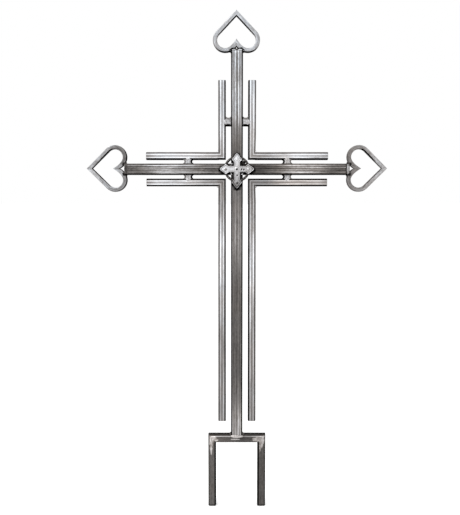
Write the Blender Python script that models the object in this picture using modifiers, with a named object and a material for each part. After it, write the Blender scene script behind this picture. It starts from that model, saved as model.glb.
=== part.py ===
"""Metal grave cross: welded square tube, hearts of bent bar, a cast rosette and a two-legged foot.

Metres, +Z up. X runs along the arms and the front of the cross faces -Y.
The origin is on the underside of the foot's crossbar, halfway between the legs.
"""

import math

import bmesh
import bpy

# Gap left between faces that are welded together
FIT_GAP = 0.0003

# Post and arms: one square tube section
TUBE_SIDE = 0.025
TUBE_CORNER = 0.003
CROSSING_HEIGHT = 0.5932     # arms' centre line above the origin
HEAD_LENGTH = 0.248          # crossing to the post's top end
ARM_REACH = 0.2372           # crossing to each arm's outer end

# Side bars: eight square bars in four mitred corners around the crossing
BAR_SIDE = 0.016
BAR_CORNER = 0.0025
BAR_END_ROUND = 0.0014
UPRIGHT_GAP = 0.0108         # clear space between post and upright
LEVEL_GAP = 0.0072           # clear space between arm and level bar
UPPER_REACH = 0.184          # crossing to the upper uprights' ends
FOOT_CLEARANCE = 0.0305      # foot's crossbar to the lower uprights' ends
LEVEL_REACH = 0.1908         # crossing to the level bars' ends

# Spacers: short square blocks that carry the side bars
SPACER_SIDE = 0.016
SPACER_CORNER = 0.0016
POST_SPACER_HEIGHT = 0.0995  # crossing to the spacers on the post
ARM_SPACER_REACH = 0.1044    # crossing to the spacers on the arms

# Hearts: square bar bent into a closed heart, its point outward
HEART_BAR = 0.0101
HEART_EDGE = 0.0009
HEART_LENGTH = 0.0873        # lobes' low side to the point
HEART_ACROSS = 0.0976
LOBE_RADIUS = 0.0251
CUSP_HEIGHT = 0.0273         # lobes' low side to the cusp's tip inside
NOTCH_HEIGHT = 0.0135        # lobes' low side to the notch between them
HEART_BITE = 0.0065          # depth that a tube's end reaches into its heart

# Rosette: a cast cross with pointed ends, laid over a ring
ROSETTE_TOP_REACH = 0.0341
ROSETTE_SIDE_REACH = 0.0365
ROSETTE_LOW_REACH = 0.0399
ROSETTE_THICKNESS = 0.0052
ROSETTE_EDGE = 0.0006
LIMB_ROOT_WIDTH = 0.0130      # at the crossing
LIMB_NECK_WIDTH = 0.0122      # behind the pointed end
POINT_WIDTH = 0.0228         # a pointed end at its widest
POINT_LENGTH = 0.0124        # from that width to the tip
SHOULDER_LENGTH = 0.0062     # from that width back to the limb
POINT_SWELL = 0.0006
RIM_WIDTH = 0.0015
FIELD_DEPTH = 0.0008
STUD_RADIUS = 0.0024
STUD_HEIGHT = 0.0009
BOSS_RADIUS = 0.0036
BOSS_HEIGHT = 0.0011
BOSS_HOLE_RADIUS = 0.0012
BOSS_HOLE_DEPTH = 0.0022
DOME_SUNK = 0.0002           # studs and boss: widest level below the field
RING_RADIUS = 0.0248
RING_WIDTH = 0.0056
RING_HEIGHT = 0.0038

# Foot: a crossbar and two legs, mitred at the corners
FOOT_BAR = 0.017
FOOT_CORNER = 0.0028
FOOT_WIDTH = 0.1243
LEG_LENGTH = 0.144           # below the crossbar's underside
LEG_END_ROUND = 0.0018

# Steps in the curves
CORNER_STEPS = 3
END_STEPS = 2
LOBE_STEPS = 16
CUSP_STEPS = 6
POINT_STEPS = 6
RING_STEPS = 48
RING_SECTION_STEPS = 10
ROUND_STEPS = 16

# Colours, linear RGB, with roughness
POST_FINISH = ((0.115, 0.110, 0.104), 0.42)
BAR_FINISH = ((0.270, 0.268, 0.270), 0.38)
HEART_FINISH = ((0.330, 0.335, 0.350), 0.36)
ROSETTE_FINISH = ((0.400, 0.402, 0.410), 0.34)
FOOT_FINISH = ((0.105, 0.100, 0.096), 0.46)
METALLIC = 0.85

SAME = 1e-6
SAME_PLANE = math.radians(0.5)
SMOOTH_ANGLE = math.radians(35)
QUARTER_TURN = math.pi / 2

# The rosette's limbs, counter-clockwise from the top one
ROSETTE_REACHES = (ROSETTE_TOP_REACH, ROSETTE_SIDE_REACH, ROSETTE_LOW_REACH, ROSETTE_SIDE_REACH)

# Each face of a mitre stands back from the corner's diagonal by half the fit gap
MITRE_SETBACK = FIT_GAP / math.sqrt(2)


def new_collection(name):
    collection = bpy.data.collections.new(name)
    bpy.context.scene.collection.children.link(collection)
    return collection


def finish_material(name, finish):
    color, roughness = finish
    material = bpy.data.materials.new(name)
    material.use_nodes = True
    shader = material.node_tree.nodes["Principled BSDF"]
    shader.inputs["Base Color"].default_value = (*color, 1.0)
    shader.inputs["Roughness"].default_value = roughness
    shader.inputs["Metallic"].default_value = METALLIC
    return material


def add_part(name, mesh, finish):
    part = bpy.data.objects.new(name, mesh)
    parts.objects.link(part)
    mesh.materials.clear()
    mesh.materials.append(finish_material(name, finish))
    mesh.shade_smooth()
    mesh.set_sharp_from_angle(angle=SMOOTH_ANGLE)
    return part


def add_tool(name, mesh):
    """A solid that only cuts or joins another one."""
    tool = bpy.data.objects.new(name, mesh)
    cutters.objects.link(tool)
    tool.hide_render = True
    tool.display_type = "WIRE"
    return tool


def combine(target, tool, operation):
    modifier = target.modifiers.new(f"{operation.lower()}_{tool.name}", "BOOLEAN")
    modifier.operation = operation
    modifier.solver = "EXACT"
    modifier.object = tool


def box_mesh(name, size, center):
    mesh = bpy.data.meshes.new(name)
    bm = bmesh.new()
    bmesh.ops.create_cube(bm, size=1.0)
    bmesh.ops.scale(bm, vec=size, verts=bm.verts)
    bmesh.ops.translate(bm, vec=center, verts=bm.verts)
    bm.to_mesh(mesh)
    bm.free()
    return mesh


def bevel_edges(bm, edges, width, steps):
    bmesh.ops.bevel(
        bm, geom=edges, offset=width, offset_type="OFFSET", segments=steps, profile=0.5, affect="EDGES"
    )


def bar_mesh(name, side, length, corner, low_round=0.0, high_round=0.0, low_mitre=0, high_mitre=0):
    """Square bar from z = 0 to its length. A mitre of 1 or -1 slopes that end along x."""
    mesh = box_mesh(name, (side, side, length), (0, 0, length / 2))
    bm = bmesh.new()
    bm.from_mesh(mesh)
    long_edges = [e for e in bm.edges if abs(e.verts[0].co.z - e.verts[1].co.z) > length / 2]
    bevel_edges(bm, long_edges, corner, CORNER_STEPS)
    for height, width in ((0, low_round), (length, high_round)):
        if width:
            rim = [e for e in bm.edges if all(abs(v.co.z - height) < SAME for v in e.verts)]
            bevel_edges(bm, rim, width, END_STEPS)
    for vert in bm.verts:
        if low_mitre and abs(vert.co.z) < SAME:
            vert.co.z += low_mitre * vert.co.x
        elif high_mitre and abs(vert.co.z - length) < SAME:
            vert.co.z += high_mitre * vert.co.x
    bm.to_mesh(mesh)
    bm.free()
    return mesh


def plate_mesh(name, outlines, thickness):
    """Flat outlines in local XY, later ones as holes, made solid and centred on z = 0."""
    curve = bpy.data.curves.new(name, "CURVE")
    curve.dimensions = "2D"
    curve.fill_mode = "BOTH"
    curve.extrude = thickness / 2
    for points in outlines:
        spline = curve.splines.new("POLY")
        spline.points.add(len(points) - 1)
        for point, (x, y) in zip(spline.points, points):
            point.co = (x, y, 0, 1)
        spline.use_cyclic_u = True
    outline = bpy.data.objects.new(name, curve)
    bpy.context.scene.collection.objects.link(outline)
    graph = bpy.context.evaluated_depsgraph_get()
    mesh = bpy.data.meshes.new_from_object(outline.evaluated_get(graph))
    bpy.data.objects.remove(outline)
    bm = bmesh.new()
    bm.from_mesh(mesh)
    bmesh.ops.remove_doubles(bm, verts=bm.verts, dist=SAME)
    bmesh.ops.dissolve_limit(bm, angle_limit=SAME_PLANE, verts=bm.verts, edges=bm.edges)
    bmesh.ops.recalc_face_normals(bm, faces=bm.faces)
    bm.to_mesh(mesh)
    bm.free()
    return mesh


def arc(center, radius, start, stop, steps):
    """Points from one angle to another, both ends included."""
    angles = [start + (stop - start) * i / steps for i in range(steps + 1)]
    return [(center[0] + radius * math.cos(a), center[1] + radius * math.sin(a)) for a in angles]


def mirrored(points):
    """A right-hand run from an axis point to an axis point, closed by its mirror image."""
    return points + [(-x, y) for x, y in reversed(points[1:-1])]


def build_post():
    length = CROSSING_HEIGHT + HEAD_LENGTH - FOOT_BAR - FIT_GAP
    post = add_part("post", bar_mesh("post", TUBE_SIDE, length, TUBE_CORNER), POST_FINISH)
    post.location = (0, 0, FOOT_BAR + FIT_GAP)


def build_arm(side_name, side):
    start = TUBE_SIDE / 2 + FIT_GAP
    name = f"arm_{side_name}"
    arm = add_part(name, bar_mesh(name, TUBE_SIDE, ARM_REACH - start, TUBE_CORNER), POST_FINISH)
    arm.location = (side * start, 0, CROSSING_HEIGHT)
    arm.rotation_euler = (0, side * QUARTER_TURN, 0)


def build_corner(tier_name, tier, side_name, side):
    """One upright and one level bar that meet in a mitre beside the crossing."""
    corner_x = TUBE_SIDE / 2 + UPRIGHT_GAP + BAR_SIDE / 2
    corner_z = TUBE_SIDE / 2 + LEVEL_GAP + BAR_SIDE / 2
    name = f"{tier_name}_upright_{side_name}"
    if tier > 0:
        low_end = CROSSING_HEIGHT + corner_z + MITRE_SETBACK
        length = CROSSING_HEIGHT + UPPER_REACH - low_end
        mesh = bar_mesh(name, BAR_SIDE, length, BAR_CORNER, high_round=BAR_END_ROUND, low_mitre=side)
    else:
        low_end = FOOT_BAR + FOOT_CLEARANCE
        length = CROSSING_HEIGHT - corner_z - MITRE_SETBACK - low_end
        mesh = bar_mesh(name, BAR_SIDE, length, BAR_CORNER, low_round=BAR_END_ROUND, high_mitre=-side)
    upright = add_part(name, mesh, BAR_FINISH)
    upright.location = (side * corner_x, 0, low_end)

    start = corner_x + MITRE_SETBACK
    name = f"{tier_name}_level_bar_{side_name}"
    mesh = bar_mesh(
        name, BAR_SIDE, LEVEL_REACH - start, BAR_CORNER, high_round=BAR_END_ROUND, low_mitre=-side * tier
    )
    level = add_part(name, mesh, BAR_FINISH)
    level.location = (side * start, 0, CROSSING_HEIGHT + tier * corner_z)
    level.rotation_euler = (0, side * QUARTER_TURN, 0)


def build_spacers():
    post_face = TUBE_SIDE / 2 + FIT_GAP
    for side_name, side in SIDES:
        name = f"post_spacer_{side_name}"
        length = UPRIGHT_GAP - 2 * FIT_GAP
        spacer = add_part(name, bar_mesh(name, SPACER_SIDE, length, SPACER_CORNER), BAR_FINISH)
        spacer.location = (side * post_face, 0, CROSSING_HEIGHT + POST_SPACER_HEIGHT)
        spacer.rotation_euler = (0, side * QUARTER_TURN, 0)
        for tier_name, tier in TIERS:
            name = f"{tier_name}_arm_spacer_{side_name}"
            length = LEVEL_GAP - 2 * FIT_GAP
            spacer = add_part(name, bar_mesh(name, SPACER_SIDE, length, SPACER_CORNER), BAR_FINISH)
            low_end = post_face if tier > 0 else -post_face - length
            spacer.location = (side * ARM_SPACER_REACH, 0, CROSSING_HEIGHT + low_end)


def heart_outlines():
    """Outer and inner outline, lobes' low side on y = 0 and the point on +y."""
    lobe_x = HEART_ACROSS / 2 - LOBE_RADIUS
    rise = HEART_LENGTH - LOBE_RADIUS
    lean = math.atan2(lobe_x, rise) + math.asin(LOBE_RADIUS / math.hypot(lobe_x, rise))
    outlines = []
    for inset, axis_height in ((0.0, NOTCH_HEIGHT), (HEART_BAR, CUSP_HEIGHT)):
        tip = (0, HEART_LENGTH - inset / math.sin(lean))
        lobe = arc((lobe_x, LOBE_RADIUS), LOBE_RADIUS - inset, lean, -QUARTER_TURN, LOBE_STEPS)
        # From the lobe's low side another arc climbs to the axis
        climb = axis_height - inset
        radius = (lobe_x**2 + climb**2) / (2 * climb)
        stop = math.atan2(climb - radius, -lobe_x)
        cusp = arc((lobe_x, inset + radius), radius, -QUARTER_TURN, stop, CUSP_STEPS)
        outlines.append(mirrored([tip, *lobe, *cusp[1:-1], (0, axis_height)]))
    return outlines


def build_heart(name, axis_x, axis_z, tube_end):
    """A heart on the end of a tube that leaves the crossing along (axis_x, axis_z)."""
    heart = add_part(name, plate_mesh(name, heart_outlines(), HEART_BAR), HEART_FINISH)
    turn = math.atan2(axis_x, axis_z)
    low_side = tube_end - HEART_BITE
    heart.location = (axis_x * low_side, 0, CROSSING_HEIGHT + axis_z * low_side)
    heart.rotation_euler = (QUARTER_TURN, turn, 0)
    edge = heart.modifiers.new("edge", "BEVEL")
    edge.width = HEART_EDGE
    edge.segments = 2
    edge.limit_method = "ANGLE"
    edge.angle_limit = math.radians(60)
    # The lobes are notched around the tube's end
    tube = TUBE_SIDE + 2 * FIT_GAP
    notch = box_mesh(f"{name}_notch", (tube, tube_end, tube), (0, FIT_GAP - tube_end / 2, 0))
    cutter = add_tool(f"{name}_notch", notch)
    cutter.location = (axis_x * tube_end, 0, CROSSING_HEIGHT + axis_z * tube_end)
    cutter.rotation_euler = heart.rotation_euler
    combine(heart, cutter, "DIFFERENCE")


def limb_outline(tip):
    """One pointed limb along +y, from its right side over the tip to its left side."""
    wide_y = tip - POINT_LENGTH
    half_point = POINT_WIDTH / 2
    right = [(LIMB_NECK_WIDTH / 2, wide_y - SHOULDER_LENGTH), (half_point, wide_y)]
    edge_length = math.hypot(half_point, POINT_LENGTH)
    normal = (POINT_LENGTH / edge_length, half_point / edge_length)
    for i in range(1, POINT_STEPS):
        t = i / POINT_STEPS
        swell = -POINT_SWELL * math.sin(2 * math.pi * t)
        x = half_point * (1 - t) + swell * normal[0]
        y = wide_y + POINT_LENGTH * t + swell * normal[1]
        right.append((x, y))
    return right + [(0, tip)] + [(-x, y) for x, y in reversed(right)]


def turned(points, angle):
    c, s = math.cos(angle), math.sin(angle)
    return [(x * c - y * s, x * s + y * c) for x, y in points]


def rosette_outline():
    half_root = LIMB_ROOT_WIDTH / 2
    points = []
    for quarter, tip in enumerate(ROSETTE_REACHES):
        points += turned(limb_outline(tip) + [(-half_root, half_root)], quarter * QUARTER_TURN)
    return points


def inset_outline(points, distance):
    """The outline moved inward. It runs counter-clockwise, so inward is to the left."""
    moved = []
    count = len(points)
    for i, (x, y) in enumerate(points):
        before = points[i - 1]
        after = points[(i + 1) % count]
        in_angle = math.atan2(y - before[1], x - before[0])
        out_angle = math.atan2(after[1] - y, after[0] - x)
        half_turn = math.remainder(out_angle - in_angle, 2 * math.pi) / 2
        direction = in_angle + half_turn + QUARTER_TURN
        reach = distance / math.cos(half_turn)
        moved.append((x + reach * math.cos(direction), y + reach * math.sin(direction)))
    return moved


def dome_tool(name, radius, height, x, y, level):
    """A flattened ball whose upper part rises from a level of the rosette's face."""
    mesh = bpy.data.meshes.new(name)
    bm = bmesh.new()
    bmesh.ops.create_uvsphere(bm, u_segments=ROUND_STEPS, v_segments=ROUND_STEPS // 2, radius=radius)
    bmesh.ops.scale(bm, vec=(1, 1, (height + DOME_SUNK) / radius), verts=bm.verts)
    bmesh.ops.translate(bm, vec=(x, y, level - DOME_SUNK), verts=bm.verts)
    bm.to_mesh(mesh)
    bm.free()
    return add_tool(name, mesh)


def cylinder_tool(name, radius, low, high):
    mesh = bpy.data.meshes.new(name)
    bm = bmesh.new()
    bmesh.ops.create_cone(
        bm, cap_ends=True, segments=ROUND_STEPS, radius1=radius, radius2=radius, depth=high - low
    )
    bmesh.ops.translate(bm, vec=(0, 0, (low + high) / 2), verts=bm.verts)
    bm.to_mesh(mesh)
    bm.free()
    return add_tool(name, mesh)


def ring_tool(name):
    """The rosette's ring, a flattened torus just clear of the casting's back."""
    bpy.ops.mesh.primitive_torus_add(
        major_radius=RING_RADIUS,
        minor_radius=RING_WIDTH / 2,
        major_segments=RING_STEPS,
        minor_segments=RING_SECTION_STEPS,
    )
    torus = bpy.context.object
    mesh = torus.data
    bpy.data.objects.remove(torus)
    bm = bmesh.new()
    bm.from_mesh(mesh)
    bmesh.ops.scale(bm, vec=(1, 1, RING_HEIGHT / RING_WIDTH), verts=bm.verts)
    bmesh.ops.translate(bm, vec=(0, 0, RING_HEIGHT / 2 + FIT_GAP), verts=bm.verts)
    bm.to_mesh(mesh)
    bm.free()
    return add_tool(name, mesh)


def build_rosette():
    """Local z is the height above the casting's back, which faces the post."""
    outline = rosette_outline()
    mesh = plate_mesh("rosette", [outline], ROSETTE_THICKNESS)
    bm = bmesh.new()
    bm.from_mesh(mesh)
    bmesh.ops.translate(bm, vec=(0, 0, ROSETTE_THICKNESS / 2), verts=bm.verts)
    bm.to_mesh(mesh)
    bm.free()
    rosette = add_part("rosette", mesh, ROSETTE_FINISH)
    edge = rosette.modifiers.new("edge", "BEVEL")
    edge.width = ROSETTE_EDGE
    edge.segments = 1
    edge.limit_method = "ANGLE"
    edge.angle_limit = math.radians(60)

    field_level = ROSETTE_THICKNESS - FIELD_DEPTH
    field_mesh = plate_mesh("field", [inset_outline(outline, RIM_WIDTH)], 2 * FIELD_DEPTH)
    field = add_tool("field", field_mesh)
    field.location = (0, 0, ROSETTE_THICKNESS)
    tools = [(field, "DIFFERENCE"), (ring_tool("ring"), "UNION")]
    for quarter, tip in enumerate(ROSETTE_REACHES):
        x, y = turned([(0, tip - POINT_LENGTH)], quarter * QUARTER_TURN)[0]
        stud = dome_tool(f"stud_{quarter}", STUD_RADIUS, STUD_HEIGHT, x, y, field_level)
        tools.append((stud, "UNION"))
    boss = dome_tool("boss", BOSS_RADIUS, BOSS_HEIGHT, 0, 0, field_level)
    hole_floor = field_level + BOSS_HEIGHT - BOSS_HOLE_DEPTH
    hole = cylinder_tool("boss_hole", BOSS_HOLE_RADIUS, hole_floor, ROSETTE_THICKNESS + BOSS_HEIGHT)
    tools += [(boss, "UNION"), (hole, "DIFFERENCE")]

    face = -(TUBE_SIDE / 2 + FIT_GAP)
    rosette.location = (0, face, CROSSING_HEIGHT)
    rosette.rotation_euler = (QUARTER_TURN, 0, 0)
    for tool, operation in tools:
        tool.parent = rosette
        combine(rosette, tool, operation)


def build_foot():
    half_span = FOOT_WIDTH / 2 - FOOT_BAR / 2
    length = 2 * (half_span - MITRE_SETBACK)
    mesh = bar_mesh("foot_crossbar", FOOT_BAR, length, FOOT_CORNER, low_mitre=1, high_mitre=-1)
    crossbar = add_part("foot_crossbar", mesh, FOOT_FINISH)
    crossbar.location = (-length / 2, 0, FOOT_BAR / 2)
    crossbar.rotation_euler = (0, QUARTER_TURN, 0)
    for side_name, side in SIDES:
        name = f"foot_leg_{side_name}"
        leg_length = LEG_LENGTH + FOOT_BAR / 2 - MITRE_SETBACK
        mesh = bar_mesh(
            name, FOOT_BAR, leg_length, FOOT_CORNER, low_round=LEG_END_ROUND, high_mitre=side
        )
        leg = add_part(name, mesh, FOOT_FINISH)
        leg.location = (side * half_span, 0, -LEG_LENGTH)


SIDES = (("left", -1), ("right", 1))
TIERS = (("upper", 1), ("lower", -1))

for old_object in list(bpy.data.objects):
    bpy.data.objects.remove(old_object, do_unlink=True)
parts = new_collection("grave_cross")
cutters = new_collection("cutters")

build_post()
for side_name, side in SIDES:
    build_arm(side_name, side)
    for tier_name, tier in TIERS:
        build_corner(tier_name, tier, side_name, side)
build_spacers()
build_heart("heart_top", 0, 1, HEAD_LENGTH)
build_heart("heart_left", -1, 0, ARM_REACH)
build_heart("heart_right", 1, 0, ARM_REACH)
build_rosette()
build_foot()
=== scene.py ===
"""Looks of a welded metal grave cross: silver dry-brushed by hand over a dark patina.

Metres, +Z up. The front of the cross faces -Y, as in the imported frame.
"""

import math

import bmesh
import bpy
import numpy as np
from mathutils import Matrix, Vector, noise


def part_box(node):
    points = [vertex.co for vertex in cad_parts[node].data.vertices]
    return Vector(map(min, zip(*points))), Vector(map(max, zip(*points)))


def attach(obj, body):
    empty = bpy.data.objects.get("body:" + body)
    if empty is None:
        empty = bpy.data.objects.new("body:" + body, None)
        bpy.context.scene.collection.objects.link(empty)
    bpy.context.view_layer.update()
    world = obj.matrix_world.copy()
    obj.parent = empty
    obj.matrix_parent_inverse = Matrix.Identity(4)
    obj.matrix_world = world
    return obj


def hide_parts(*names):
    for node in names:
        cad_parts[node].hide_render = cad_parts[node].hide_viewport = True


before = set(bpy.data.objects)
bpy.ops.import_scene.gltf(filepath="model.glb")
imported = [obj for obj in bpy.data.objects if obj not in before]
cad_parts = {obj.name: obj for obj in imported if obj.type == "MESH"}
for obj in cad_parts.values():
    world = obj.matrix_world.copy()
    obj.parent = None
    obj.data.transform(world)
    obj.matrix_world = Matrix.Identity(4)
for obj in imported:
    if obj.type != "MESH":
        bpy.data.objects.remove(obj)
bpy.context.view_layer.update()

# Photograph's frame and the camera that took it
PICTURE_LONG_SIDE = 515
SENSOR = 36.0
FOCAL_PIXELS = 730.0
CAMERA_PITCH = math.radians(5.434)
CAMERA_PLACE = (-0.0146, -1.5581, 0.5535)

# Stage
FLOOR_SIZE = 30.0
FLOOR_GAP = 0.0002
FLOOR_WHITE = (0.93, 0.93, 0.93, 1.0)
FLOOR_GLOW = 0.30
SKY_WHITE = (1.0, 1.0, 1.0, 1.0)
KEY_PLACE = (-1.3, -1.7, 2.2)
KEY_SIZE = 0.5
KEY_WATTS = 30.0

# Main places, from the frame
POST_LOW, POST_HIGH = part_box("post")
CROSSING = (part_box("arm_left")[0].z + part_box("arm_left")[1].z) / 2
TUBE_HALF = (POST_HIGH.x - POST_LOW.x) / 2
BAR_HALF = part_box("upper_level_bar_left")[1].y
FOOT_LOW, FOOT_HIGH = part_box("foot_crossbar")
FOOT_HALF = (FOOT_HIGH.z - FOOT_LOW.z) / 2
LEG_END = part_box("foot_leg_left")[0].z
LEG_X = (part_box("foot_leg_right")[0].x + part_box("foot_leg_right")[1].x) / 2
SIDES = (("left", -1), ("right", 1))
TIERS = (("upper", 1), ("lower", -1))
FACES = (("front", -1), ("back", 1))
DEPTH_AXIS = np.array((0.0, 1.0, 0.0))
QUARTER_TURN = math.pi / 2

# Edges of the bars
TUBE_CORNER = 0.0030
BAR_CORNER = 0.0025
FOOT_CORNER = 0.0028
SPACER_CORNER = 0.0016
LEAST_CORNER = 0.0004
TUBE_END_ROUND = 0.0008
BAR_END_ROUND = 0.0014
LEG_END_ROUND = 0.0018
SPACER_END_ROUND = 0.0003
SPACER_FILLET = 0.0046
CORNER_STEPS = 5
EDGE_SUPPORT = 0.0008        # row of vertices that keeps a face flat beside its rounded edge
RING_SPACING = 0.004
CLOSE_SPACING = 0.001        # rings around the rosette
CLOSE_REACH = 0.050
SURFACE_DIP = 0.00012        # deepest unevenness of a drawn bar's faces
DIP_SCALE = 60.0

# The bars were cut and set by hand: height of the arms' lower and upper half as shares of the frame's
ARM_SLIMNESS = (0.978, 0.938)
# How far each level bar and upper upright ends beyond the frame's own, and how far a level bar sags
LEVEL_TRIMS = {"upper_left": 0.0008, "upper_right": 0.0014, "lower_left": 0.0005, "lower_right": 0.0}
UPRIGHT_TRIM = 0.0008
LEVEL_SAG = 0.0005
# How far an upright's inner and outer edges stand beyond the frame's: (at the crossing, at its end)
UPRIGHT_SPREAD = {
    "upper_left": ((0.0, 0.0), (0.0, 0.0)),
    "upper_right": ((0.0, 0.0001), (0.0007, 0.0008)),
    "lower_left": ((0.0, 0.0002), (0.0002, 0.0011)),
    "lower_right": ((0.0002, 0.0007), (0.0008, 0.0018)),
}
SPREAD_START = 0.04
ARM_SPACER_SHIFT = 0.0016
POST_SPACER_DROP = 0.0009
POST_SPACER_EXTRA = 0.0008
SPACER_INSET = 0.0002
SPACER_OVERLAP = 0.0010
CROSSBAR_CROWN = 0.0006
CROSSBAR_SAG = 0.0005
RIGHT_LEG_EXTRA = 0.0007

# Hearts
HEART_DEPTH = 0.0101
HEART_BAR = 0.0090
HEART_EDGE = 0.0011
HEART_LENGTH = 0.0873
HEART_ACROSS = 0.0984
LOBE_RADIUS = 0.0255
HEART_BITE = 0.0065
TIP_BLUNTING = 0.0004
CUSP_SLOPE = math.radians(58)
CUSP_PULL = 0.030
# Each heart was bent and set by hand: (direction, height of the cusp, height of the notch, shift in x
# and z, how much shorter it is, with its point in the same place)
HEARTS = {
    "heart_top": ((0, 1), 0.0285, 0.0118, (-0.0012, 0.0), 0.0),
    "heart_left": ((-1, 0), 0.0298, 0.0154, (0.0, 0.0014), 0.0014),
    "heart_right": ((1, 0), 0.0304, 0.0147, (0.0, 0.0016), 0.0015),
}
STRAIGHT_STEPS = 22
LOBE_STEPS = 44
CUSP_STEPS = 12

# Rosette
ROSETTE_TOP_REACH = 0.0331
ROSETTE_SIDE_REACH = 0.0364
ROSETTE_LOW_REACH = 0.0408
ROSETTE_REACHES = (ROSETTE_TOP_REACH, ROSETTE_SIDE_REACH, ROSETTE_LOW_REACH, ROSETTE_SIDE_REACH)
ROSETTE_THICKNESS = 0.0052
LIMB_WIDTH = 0.0126
POINT_WIDTH = 0.0228
POINT_LENGTH = 0.0124
SHOULDER_LENGTH = 0.0062
POINT_SWELL = 0.0006
POINT_STEPS = 10
RIM_WIDTH = 0.0015
FIELD_DEPTH = 0.0009
STUD_RADIUS = 0.0026
STUD_RISE = 0.0008
BOSS_RADIUS = 0.0038
BOSS_RISE = 0.0012
# Hollows in the face: x, y, radius, depth and how much darker each is made
ROSETTE_PITS = (
    (0.0, -0.0004, 0.0034, 0.0024, 0.90),
    (-0.0236, -0.0010, 0.0044, 0.0006, 0.42),
    (0.0100, -0.0004, 0.0030, 0.0010, 0.50),
    (0.0146, -0.0008, 0.0030, 0.0010, 0.50),
    (0.0006, -0.0130, 0.0030, 0.0008, 0.35),
    (0.0004, -0.0290, 0.0040, 0.0008, 0.45),
)
RING_RADIUS = 0.0248
RING_HALF_WIDTH = 0.0027
RING_HALF_HEIGHT = 0.0019
KNOB_RADIUS = 0.0025
KNOB_LIFT = 0.0008
KNOB_LEANS = (-24, 0, 24)    # degrees to either side of each quarter's middle
ROSETTE_VOXEL = 0.00034
FIT_GAP = 0.0003
SOFTENING = (3, 0.5)         # passes and strength
WEAR_SPREAD = (26, 0.6)
WEAR_HEIGHT = 0.00040
# Grain of the casting, scale and height, and how far it lies below the smooth skin
CAST_GRAINS = ((420, 0.00009), (1300, 0.00005))
GRAIN_DROP = 0.00010
FACE_GREY = 0.76
RING_GREY = 0.22
# Painted shadow of the rosette on the tubes, shifted downward, over patina that the brush left around it
HALO_REACH = 0.0044
HALO_SHIFT = (0.0001, -0.0018)
HALO_DEPTH = 0.92

# Beads: slot, half width, height, greys in the folds and on the crest, lumpiness
BEADS = {
    "apron": ("foot_steel", 0.0044, 0.0034, (0.44, 0.80), 0.16),
    # A dark bead that is the painted shadow under the post's overhang
    "foot_shadow_fold": ("foot_steel", 0.0014, 0.0010, (0.03, 0.26), 0.2),
    "foot_bead": ("foot_steel", 0.0017, 0.0013, (0.30, 0.88), 0.2),
    "foot_fillet": ("foot_steel", 0.0020, 0.0020, (0.15, 0.55), 0.3),
    "foot_back": ("foot_steel", 0.0034, 0.0022, (0.25, 0.60), 0.2),
    # Near-black folds: partly weld groove, partly painted shadow where the top heart meets the post
    "top_shadow_fold": ("heart_steel", 0.0015, 0.0012, (0.02, 0.10), 0.6),
    "top_bead": ("heart_steel", 0.0014, 0.0009, (0.26, 0.88), 0.6),
    # Dark beads under the top heart's lobes beside the post: painted shade
    "top_side_shade": ("heart_steel", 0.0034, 0.0030, (0.04, 0.18), 0.5),
    "left_arm_end": ("heart_steel", 0.0029, 0.0014, (-0.16, 0.44), 0.4),
    "right_arm_end": ("heart_steel", 0.0029, 0.0014, (-0.16, 0.92), 0.4),
    "left_seam": ("heart_steel", 0.0010, 0.0006, (0.26, 0.38), 0.5),
    "right_seam": ("heart_steel", 0.0010, 0.0006, (0.0, 0.12), 0.5),
    # Dark folds where a side heart's lobes meet the arm: partly weld undercut, partly painted shadow
    "heart_shadow_fold": ("heart_steel", 0.0026, 0.0016, (0.03, 0.26), 0.6),
    "heart_edge": ("heart_steel", 0.0030, 0.0024, (0.08, 0.40), 0.5),
    "upper_corner": ("side_bar_steel", 0.0028, 0.0026, (0.85, 0.95), 0.1),
    "lower_corner": ("side_bar_steel", 0.0028, 0.0026, (0.56, 0.66), 0.1),
    "spacer_tack": ("side_bar_steel", 0.0027, 0.0009, (0.34, 0.84), 0.4),
    # Kept dark: weld in the upper right opening, with the opening's painted shade over it
    "rosette_tack_upper_right": ("tube_steel", 0.0034, 0.0020, (0.060, 0.20), 0.4),
    "rosette_tack_upper_left": ("tube_steel", 0.0024, 0.0020, (0.294, 0.98), 0.4),
    "rosette_tack_lower_left": ("tube_steel", 0.0021, 0.0020, (0.282, 0.94), 0.4),
    "rosette_tack_lower_right": ("tube_steel", 0.0021, 0.0020, (0.288, 0.96), 0.4),
}
BEAD_STEPS = 40
BEAD_SIDES = 14
LUMP_SCALE = 480
CORNER_WELD_OUT = 0.0006
TACK_INSET = 0.0010
TACK_HALF = 0.0046
TACK_SINK = 0.0004
WELD_SINK = 0.0002           # how far inside a face a low bead's middle lies
WELD_LIFT = 0.0004           # and how far outside it a higher one's
TOP_FOLD_OUT = HEART_BAR / 2 + 0.0002
ARM_FOLD_OUT = HEART_BAR / 2 + 0.0004
# Paths of beads, as (x, z) from the post's top, from the arm's end, and from the crossing
TOP_FOLD = ((0.0016, 0.0014), (0.0060, 0.0024), (0.0102, 0.0018), (0.0138, -0.0006), (0.0160, -0.0030))
TOP_BEAD = ((0.0020, 0.0), (0.0070, 0.0004), (0.0108, -0.0004))
ARM_FOLD = ((0.0026, 0.0070), (0.0022, 0.0105), (0.0006, 0.0140))
ROSETTE_TACKS = (
    ("rosette_tack_upper_right", ((0.0100, 0.0150), (0.0135, 0.0128), (0.0150, 0.0092))),
    ("rosette_tack_upper_left", ((-0.0104, 0.0096), (-0.0120, 0.0122))),
    ("rosette_tack_lower_left", ((-0.0104, -0.0092), (-0.0120, -0.0116))),
    ("rosette_tack_lower_right", ((0.0104, -0.0092), (0.0120, -0.0116))),
)

# How a grey of the picture becomes a reflectance
DISPLAY_GAMMA = 2.2
GREY_LIMITS = (0.02, 0.99)
DARK_TINT = (1.066, 0.986, 0.940)
PALE_TINT = (0.980, 0.990, 1.022)
TINT_PATCH_SCALE = (22, 22, 22)
WARMEST = -0.4
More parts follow.
